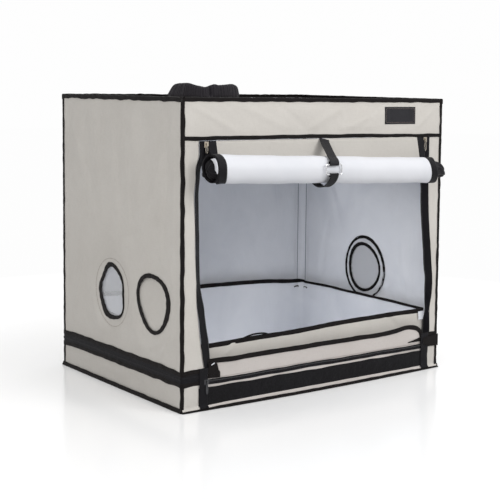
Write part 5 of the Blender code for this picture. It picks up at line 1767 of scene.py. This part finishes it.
    def build_loops(self) -> None:
        """The loops that hang the tray's rim from the poles, and a tab of lining."""
        loops = []
        for width, knots in (
            (4.5, ((-0.230, -0.262, 0.139), (-0.215, -0.266, 0.147), (-0.190, -0.268, 0.153), (-0.160, -0.267, 0.152),
                   (-0.140, -0.263, 0.146), (-0.130, -0.261, 0.141))),
            (3.6, ((0.3500, 0.2592, 0.1398), (0.3540, 0.2572, 0.1420), (0.3620, 0.2570, 0.1424),
                   (0.3660, 0.2590, 0.1400))),
            (3.6, ((0.3748, 0.2290, 0.1388), (0.3732, 0.2320, 0.1410), (0.3732, 0.2400, 0.1414),
                   (0.3748, 0.2430, 0.1392))),
        ):
            path = curve_through(knots, 40)
            across = unit(np.cross(tangents(path), [0.2, 1.0, 0.3]))
            loops.append(ribbon(path, across, width * MM, 1.2 * MM))
        self.add("tray_loops", loops, "tape", body="tray")
        tab = curve_through(((0.3595, -0.2655, 0.150), (0.3595, -0.2668, 0.139), (0.3600, -0.2662, 0.128)), 12)
        self.add("tray_tab", ribbon(tab, ACROSS, 24 * MM, 0.7 * MM), "lining", body="tray")


@dataclass
class Vents(Section):
    """Mesh vents and the duct port in the side walls, with their rings and flaps."""

    cover: Cover
    net_radius: float = 85 * MM
    net_pitch: float = 2.6 * MM
    inner_face: float = 396.8 * MM

    # Lobes of the left net's outer seam, which runs under its edge tape
    net_lobes: tuple = ((2, 1.5, 85), (3, 1.0, 20))

    def circle(self, side: int, y: float, radius: Wavy, proud: float, count: int = 160) -> tuple[Array, Array, Array]:
        """A wavering circle on a side wall.

        Args:
            side: -1 for the left wall and 1 for the right.
            y: Y of its centre.
            radius: Its radius.
            proud: How far it stands off the wall's face.
            count: Number of points.

        Returns:
            Its angles, points and outward radial directions.
        """
        angle = full_turn(count)
        reach = radius.at(angle)
        ys, zs = y + reach * np.cos(angle), self.cover.vent_z + reach * np.sin(angle)
        panel = self.cover.left if side < 0 else self.cover.right
        points = panel.place(self.cover.cloth_y + side * ys, zs - self.cover.wall_low, proud)
        return angle, points, joined(0.0, np.cos(angle), np.sin(angle))

    def ring(self, side: int, y: float, size: Ring, proud: float) -> Patch:
        """A tape ring that follows the wall, with its gathers."""
        angle, points, radial = self.circle(side, y, size.middle, proud)
        gathers = 1 + 0.05 * np.sin(23 * angle + y * 100) + 0.04 * np.sin(11 * angle)
        points[:, 0] += side * np.abs(np.sin(9 * angle + y * 60)) * 0.5 * MM
        section, width = flat_section(1.0, 1.6 * MM, 12), size.width.at(angle) * gathers
        return swept(points, radial, (float(side), 0.0, 0.0), section, width, closed=True)

    def net(self, y: float, x: float) -> Patch:
        """A disc of crossed threads.

        Each thread is a thin bar across the disc. Threads of one direction
        pass in front of and behind the others by half a thread.
        """
        offsets = np.arange(-self.net_radius + self.net_pitch, self.net_radius, self.net_pitch)
        half = np.sqrt(self.net_radius**2 - offsets**2)
        thickness, depth = 0.85 * MM, 0.35 * MM
        share = np.linspace(-1, 1, 9)
        side, face = np.array([(-1, -1), (1, -1), (1, 1), (-1, 1)], float).T
        blocks = []
        for upright in (False, True):
            along = (half[:, None] * share).reshape(-1, 1)
            aside = np.repeat(offsets, share.size)[:, None]
            sag = 0.9 * MM * np.cos(along * 18) * np.cos(aside * 15)
            aside = aside + side * thickness / 2
            deep = x + sag + face * depth / 2 + (0.15 * MM if upright else -0.15 * MM)
            ys, zs = (aside, along) if upright else (along, aside)
            blocks.append(joined(deep, y + ys, self.cover.vent_z + zs))
        points = np.concatenate(blocks)
        kept = np.ones((len(points) - 1, 4), bool)
        kept[share.size - 1 :: share.size] = False
        return Patch(points, points[..., 1:], wrap_columns=True, kept=kept)

    def build(self) -> None:
        """Builds the vents of both walls."""
        cover = self.cover
        left, port, right = cover.left_vent_y, cover.port_y, cover.right_vent_y
        for name, side, y, size in (
            ("left_vent_ring", -1, left, cover.left_vent_ring),
            ("duct_port_ring", -1, port, cover.port_ring),
            ("right_vent_ring", 1, right, cover.right_vent_ring),
        ):
            self.add(f"{name}_tape", self.ring(side, y, size, 0.8 * MM), "tape", name)
        for name, side, y in (("left_vent", -1, left), ("right_vent", 1, right)):
            self.add(f"{name}_threads", self.net(y, side * self.inner_face), "net", f"{name}_net")
        seam = Ring(Wavy(81 * MM, self.net_lobes), Wavy(9 * MM))
        edges = ((-1, left, seam), (1, right, cover.right_vent_ring), (1, right, cover.right_vent_edge))
        self.add("vent_net_edges", [self.ring(*edge, -2.1 * MM) for edge in edges], "tape")
        seams = []
        for side, y in ((-1, left), (1, right)):
            _, points, _ = self.circle(side, y, Wavy(81.5 * MM, self.net_lobes), 0.3 * MM, count=400)
            seams.append(stitches(points, (float(side), 0.0, 0.0), 3.2 * MM, 1.4 * MM, 0.7 * MM, 0.5 * MM))
        self.add("vent_stitching", seams, "thread")
        self.build_cover()
        self.build_flap()

    def build_cover(self) -> None:
        """The round cloth cover outside the right vent: rings about its centre, slightly domed."""
        radius, x, seed = 78 * MM, 400.9 * MM, 2
        angle = full_turn(72)
        share = np.linspace(0.0, 1.0, 16)[:, None]
        reach = radius * share * (1 + 0.012 * np.cos(3 * angle + seed))
        ys, zs = self.cover.right_vent_y + reach * np.cos(angle), self.cover.vent_z + reach * np.sin(angle)
        dome = x + 0.5 * MM * np.sin(ys * 60 + seed) * np.cos(zs * 55) * share
        self.add("vent_cover_cloth", Patch(joined(dome, ys, zs), joined(ys, zs), wrap_columns=True), "cover lining",
                 "right_vent_cover", "vent_cover", facing=ACROSS, thickness=1.1 * MM, offset=0.0,
                 flat=(2 * radius, 2 * radius), held="hung", area=pi * radius**2)

    def build_flap(self) -> None:
        """The flap inside the duct port, with two rounded corners at its foot."""
        low, high = corners("duct_port_flap")
        wide, tall = high[1] - low[1], high[2] - low[2]
        ys, zs = np.linspace(low[1], high[1], 31)[:, None], np.linspace(low[2], high[2], 30)
        corner, centre = 20 * MM, (low[1] + high[1]) / 2
        short = np.clip(low[2] + corner - zs, 0, None)
        pull = corner - np.sqrt(np.clip(corner**2 - short**2, 0, None))
        ys = centre + (ys - centre) * (1 - pull / (wide / 2))
        dish = np.cos((ys - centre) / wide * pi) * smooth((zs - low[2]) / tall)
        x = (low[0] + high[0]) / 2 + 5.5 * MM * dish + 0.25 * MM * np.sin(ys * 70) * np.cos(zs * 50)
        self.add("duct_port_flap_cloth", Patch(joined(x, ys, zs), joined(ys, zs)), "cover lining", "duct_port_flap",
                 "port_flap", facing=(-1, 0, 0), thickness=1.1 * MM, offset=0.0, flat=(0.150, 0.1415), held="hung")


@dataclass
class DuctSleeve(Section):
    """The slack sleeve of the roof's duct opening: a collar that has sunk in on itself."""

    centre: tuple[float, float] = (-0.140, 0.0)
    shift: tuple[float, float] = (-8 * MM, 6 * MM)
    low: float = 701.5 * MM
    roof_rise: float = 1.6 * MM
    reach: float = 88 * MM
    view_turn: float = 36.2

    # Height of the rim across the sleeve as the photograph shows it, in millimetres
    crown: tuple = (
        (-88, 31), (-70, 34), (-40, 33), (-20, 29), (4, 25), (30, 31), (45, 29), (75, 33.5), (88, 28),
    )

    # Section from the roof's hole outwards, up the collar and down inside: reach in millimetres
    # and share of the rim's height
    section: tuple = (
        (63, 0.01), (74, 0.02), (86, 0.03), (90, 0.16), (89, 0.45), (86.5, 0.78), (82.5, 0.97), (77, 0.98),
        (72.5, 0.80), (70, 0.50), (66, 0.22), (60, 0.10),
    )

    def build(self) -> None:
        """Builds the sleeve: its section goes round, under a rim that follows the crown, with fine pleats."""
        angle = full_turn(540)
        aside = np.cos(angle + math.radians(self.view_turn))
        near = -np.sin(angle + math.radians(self.view_turn))
        crown = curve_through(self.crown, 300) * MM
        rim = np.interp(aside * self.reach, crown[:, 0], crown[:, 1])
        rim = rim + 1.0 * MM + 1.0 * MM * near + 0.8 * MM * np.sin(7 * angle + 1)
        section = curve_through(self.section, 60)
        share = np.linspace(0, 1, 60)[:, None]
        up = np.clip(section[:, 1:], 0, 1)
        lean = 12 * MM * smooth((-aside - 0.2) / 0.8) * up
        wall = smooth((share - 0.12) / 0.12)
        pleats = 0.55 * MM * np.sin(90 * angle + 2 * np.sin(5 * angle)) + 0.35 * MM * np.sin(61 * angle + 3 * share)
        slump = 1.3 * MM * np.sin(5 * angle + 4 * share) + 0.9 * MM * np.sin(11 * angle - 5 * share + 1.0)
        groove = -7 * MM * bell(angle, math.radians(246), math.radians(3.5)) * smooth(up / 0.3)
        reach = section[:, :1] * MM - lean + (pleats + slump + groove) * wall
        moved = smooth(share / 0.25)
        x = self.centre[0] + self.shift[0] * moved + reach * np.cos(angle)
        y = self.centre[1] + self.shift[1] * moved + reach * np.sin(angle)
        z = self.low + self.roof_rise + 0.8 * MM * np.sin(angle) + up * rim + 0.3 * pleats * wall
        points = joined(x, y, z)
        run = lengths_along(section * [MM, 0.03])
        row, inside_out = points[20, 0], points[21, 0] - points[20, 0]
        inside_out = np.cross(points[20, 1] - row, inside_out)[0] < 0
        patch = Patch(points, joined(angle * 80 * MM, run[:, None]), wrap_columns=True)
        self.add("duct_sleeve_cloth", patch, "sleeve", "duct_sleeve", thickness=1.2 * MM, flipped=inside_out)


@dataclass
class Hardware(Section):
    """The CAD parts that stay, and the cast pulls of the zips."""

    # Start of the parts' names, and their finish
    finishes: tuple = (
        ("pole_", "steel"), ("rail_", "steel"), ("hanger_bar_", "steel"), ("corner_", "plastic"),
        ("zip_slider_base", "enamel"), ("zip_slider_", "zinc"), ("strap_ring", "chrome"),
    )

    def build(self) -> None:
        """Gives each part its finish and shapes the pulls."""
        for name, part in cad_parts.items():
            finish = next((finish for start, finish in self.finishes if name.startswith(start)), None)
            if finish:
                for slot in part.material_slots:
                    slot.material = self.material(finish)
                log.info("%s is finished in %s", name, FINISHES[finish].name)
        for place in ("left", "right", "base"):
            self.build_pull(place)

    def build_pull(self, place: str) -> None:
        """A teardrop pull: a raised rim round a dark recess, narrow where it hangs."""
        low, high = corners(f"zip_pull_{place}")
        if place == "left":
            low[2] += 9 * MM
        middle, half = (low + high) / 2, (high - low) / 2
        turn = full_turn(48)
        bar = 0.8 * MM
        up = np.cos(turn) * (half[2] - bar)
        aside = np.sin(turn) * (half[0] * 1.25 - bar) * (0.72 - 0.28 * np.cos(turn))
        loop = middle + joined(aside, 0.0, up)
        inward = unit(joined(-aside, 0.0, -up * 0.35))
        rim = swept(loop, inward, FRONT, flat_section(1.7 * MM, 1.5 * MM, 10, 0.9), closed=True)
        inside = middle + (loop - middle) * np.linspace(0.02, 0.96, 6)[:, None, None]
        plate = Patch(inside, inside[..., ::2], finish=1, wrap_columns=True)
        back = Patch(inside[::-1] + [0, 0.5 * MM, 0], inside[::-1, :, ::2], finish=1, wrap_columns=True)
        cast = "enamel" if place == "base" else "zinc"
        self.add(f"{place}_pull_cast", [rim, plate, back], f"{cast} enamel", f"zip_pull_{place}", f"{place}_pull")


# Studio


def put(name: str, data: bpy.types.ID, axes: Sequence[Array], place: Vector) -> bpy.types.Object:
    """Adds a lamp or camera at a place, turned to three axes."""
    turn = np.eye(4)
    turn[:3] = np.column_stack([*axes, place])
    thing = bpy.data.objects.new(name, data)
    bpy.context.scene.collection.objects.link(thing)
    thing.matrix_world = Matrix(turn.tolist())
    return thing


@dataclass(frozen=True)
class Lamp:
    """A soft rectangular lamp."""

    name: str
    place: tuple[float, float, float]
    aim: tuple[float, float, float]
    width: float
    height: float
    power: float
    spread: float = 180.0

    def make(self) -> None:
        """Adds the lamp to the scene."""
        data = bpy.data.lights.new(self.name, "AREA")
        data.shape = "RECTANGLE"
        data.size, data.size_y = self.width, self.height
        data.energy, data.spread = self.power, math.radians(self.spread)
        back = unit(np.subtract(self.place, self.aim))
        side = unit(np.cross(UP, back))
        put(self.name, data, (side, np.cross(back, side), back), self.place)


@dataclass
class Studio:
    """Floor, light and camera of the photograph."""

    lens: float = 82.68
    shift: float = -0.1
    place: tuple[float, float, float] = (-1.762, -2.3956, 0.7144)
    yaw: float = 0.6325
    pitch: float = -0.0927
    roll: float = 0.0087
    floor_colour: str = "f0f0f0"
    floor_bounce: str = "dcdcdc"
    floor_glow: float = 0.20
    floor_gloss: float = 0.25

    def build(self) -> None:
        """Sets up the scene round the tent."""
        self.build_floor()
        self.build_light()
        self.build_camera()

    def build_floor(self) -> None:
        """A large pale floor that takes the tent's shadow and turns white like a cove further out."""
        nodes = Shading("pale studio floor")
        path = add_node(nodes.tree, "LightPath").outputs
        seen = nodes.math("MAXIMUM", path["Is Camera Ray"], path["Is Glossy Ray"])
        rough = nodes.spread(nodes.noise(nodes.place, 1.3, 3.0), 0.0, 1.0, 0.14, 0.20)
        away = nodes.node("VectorMath", {0: nodes.place}, "Value", operation="LENGTH")
        far = nodes.spread(away, 0.62, 1.7, interpolation_type="SMOOTHSTEP")
        white = nodes.math("MULTIPLY", far, seen)
        near = nodes.mix(seen, linear(self.floor_bounce), linear(self.floor_colour))
        bright = nodes.spread(far, 0.0, 1.0, self.floor_glow, 0.985)
        material = nodes.finish({
            "Base Color": nodes.mix(white, near, linear("000000")),
            "Roughness": rough,
            "Specular IOR Level": nodes.spread(white, 0.0, 1.0, self.floor_gloss, 0.0),
            "Emission Color": linear("ffffff"),
            "Emission Strength": nodes.math("MULTIPLY", bright, seen),
        })
        share = np.linspace(-1, 1, 9) * 14
        points = joined(share[:, None], share + 4, 0.0)
        make_piece("studio_floor", [Patch(points, points[..., :2])], [material], Turned.TOWARDS, UP)

    def build_light(self) -> None:
        """A white world seen by the camera, a grey one for light, three soft lamps and a small fill inside."""
        world = bpy.data.worlds.new("studio")
        bpy.context.scene.world = world
        world.use_nodes = True
        tree = world.node_tree
        tree.nodes.clear()
        path = add_node(tree, "LightPath").outputs
        seen = {0: path["Is Camera Ray"], 1: path["Is Glossy Ray"]}
        seen = add_node(tree, "Math", seen, operation="MAXIMUM").outputs[0]
        strength = add_node(tree, "MapRange", {0: seen, 3: 0.52, 4: 0.99}).outputs[0]
        light = add_node(tree, "Background", {"Color": (1, 1, 1, 1), "Strength": strength})
        add_node(tree, "OutputWorld", {"Surface": light.outputs[0]})
        for lamp in (
            Lamp("key lamp on the right", (1.2, -3.3, 2.5), (0.0, 0.0, 0.35), 2.2, 1.8, 62.0),
            Lamp("lamp on the left", (-2.9, -1.9, 1.5), (0.0, 0.0, 0.35), 2.4, 2.0, 22.0),
            Lamp("overhead", (0.2, 0.0, 3.4), (0.0, 0.0, 0.0), 3.0, 3.0, 32.0),
            Lamp("small fill under the tent's roof", (0.14, -0.02, 0.53), (0.32, -0.05, 0.0), 0.44, 0.38, 0.35, 86.0),
        ):
            lamp.make()

    def build_camera(self) -> None:
        """The photograph's viewpoint: yaw right of +Y, then pitch, then roll."""
        data = bpy.data.cameras.new("photograph camera")
        data.lens, data.sensor_width = self.lens, 36.0
        data.shift_y, data.clip_end = self.shift, 60
        level = math.cos(self.pitch)
        ahead = np.array([math.sin(self.yaw) * level, math.cos(self.yaw) * level, math.sin(self.pitch)])
        right = unit(np.cross(ahead, UP))
        up = np.cross(right, ahead)
        cos, sin = math.cos(self.roll), math.sin(self.roll)
        axes = (cos * right + sin * up, cos * up - sin * right, -ahead)
        bpy.context.scene.camera = put("photograph camera", data, axes, self.place)
        bpy.context.scene.view_settings.view_transform = "Standard"


def main() -> None:
    """Builds the tent and its studio."""
    logging.basicConfig(level=logging.INFO, format="%(message)s")
    Studio().build()
    cover = Cover()
    for section in (cover, Doorway(), DoorRoll(), SillFlap(), SpillTray(), Vents(cover), DuctSleeve(), Hardware()):
        section.build()


if __name__ == "__main__":
    main()
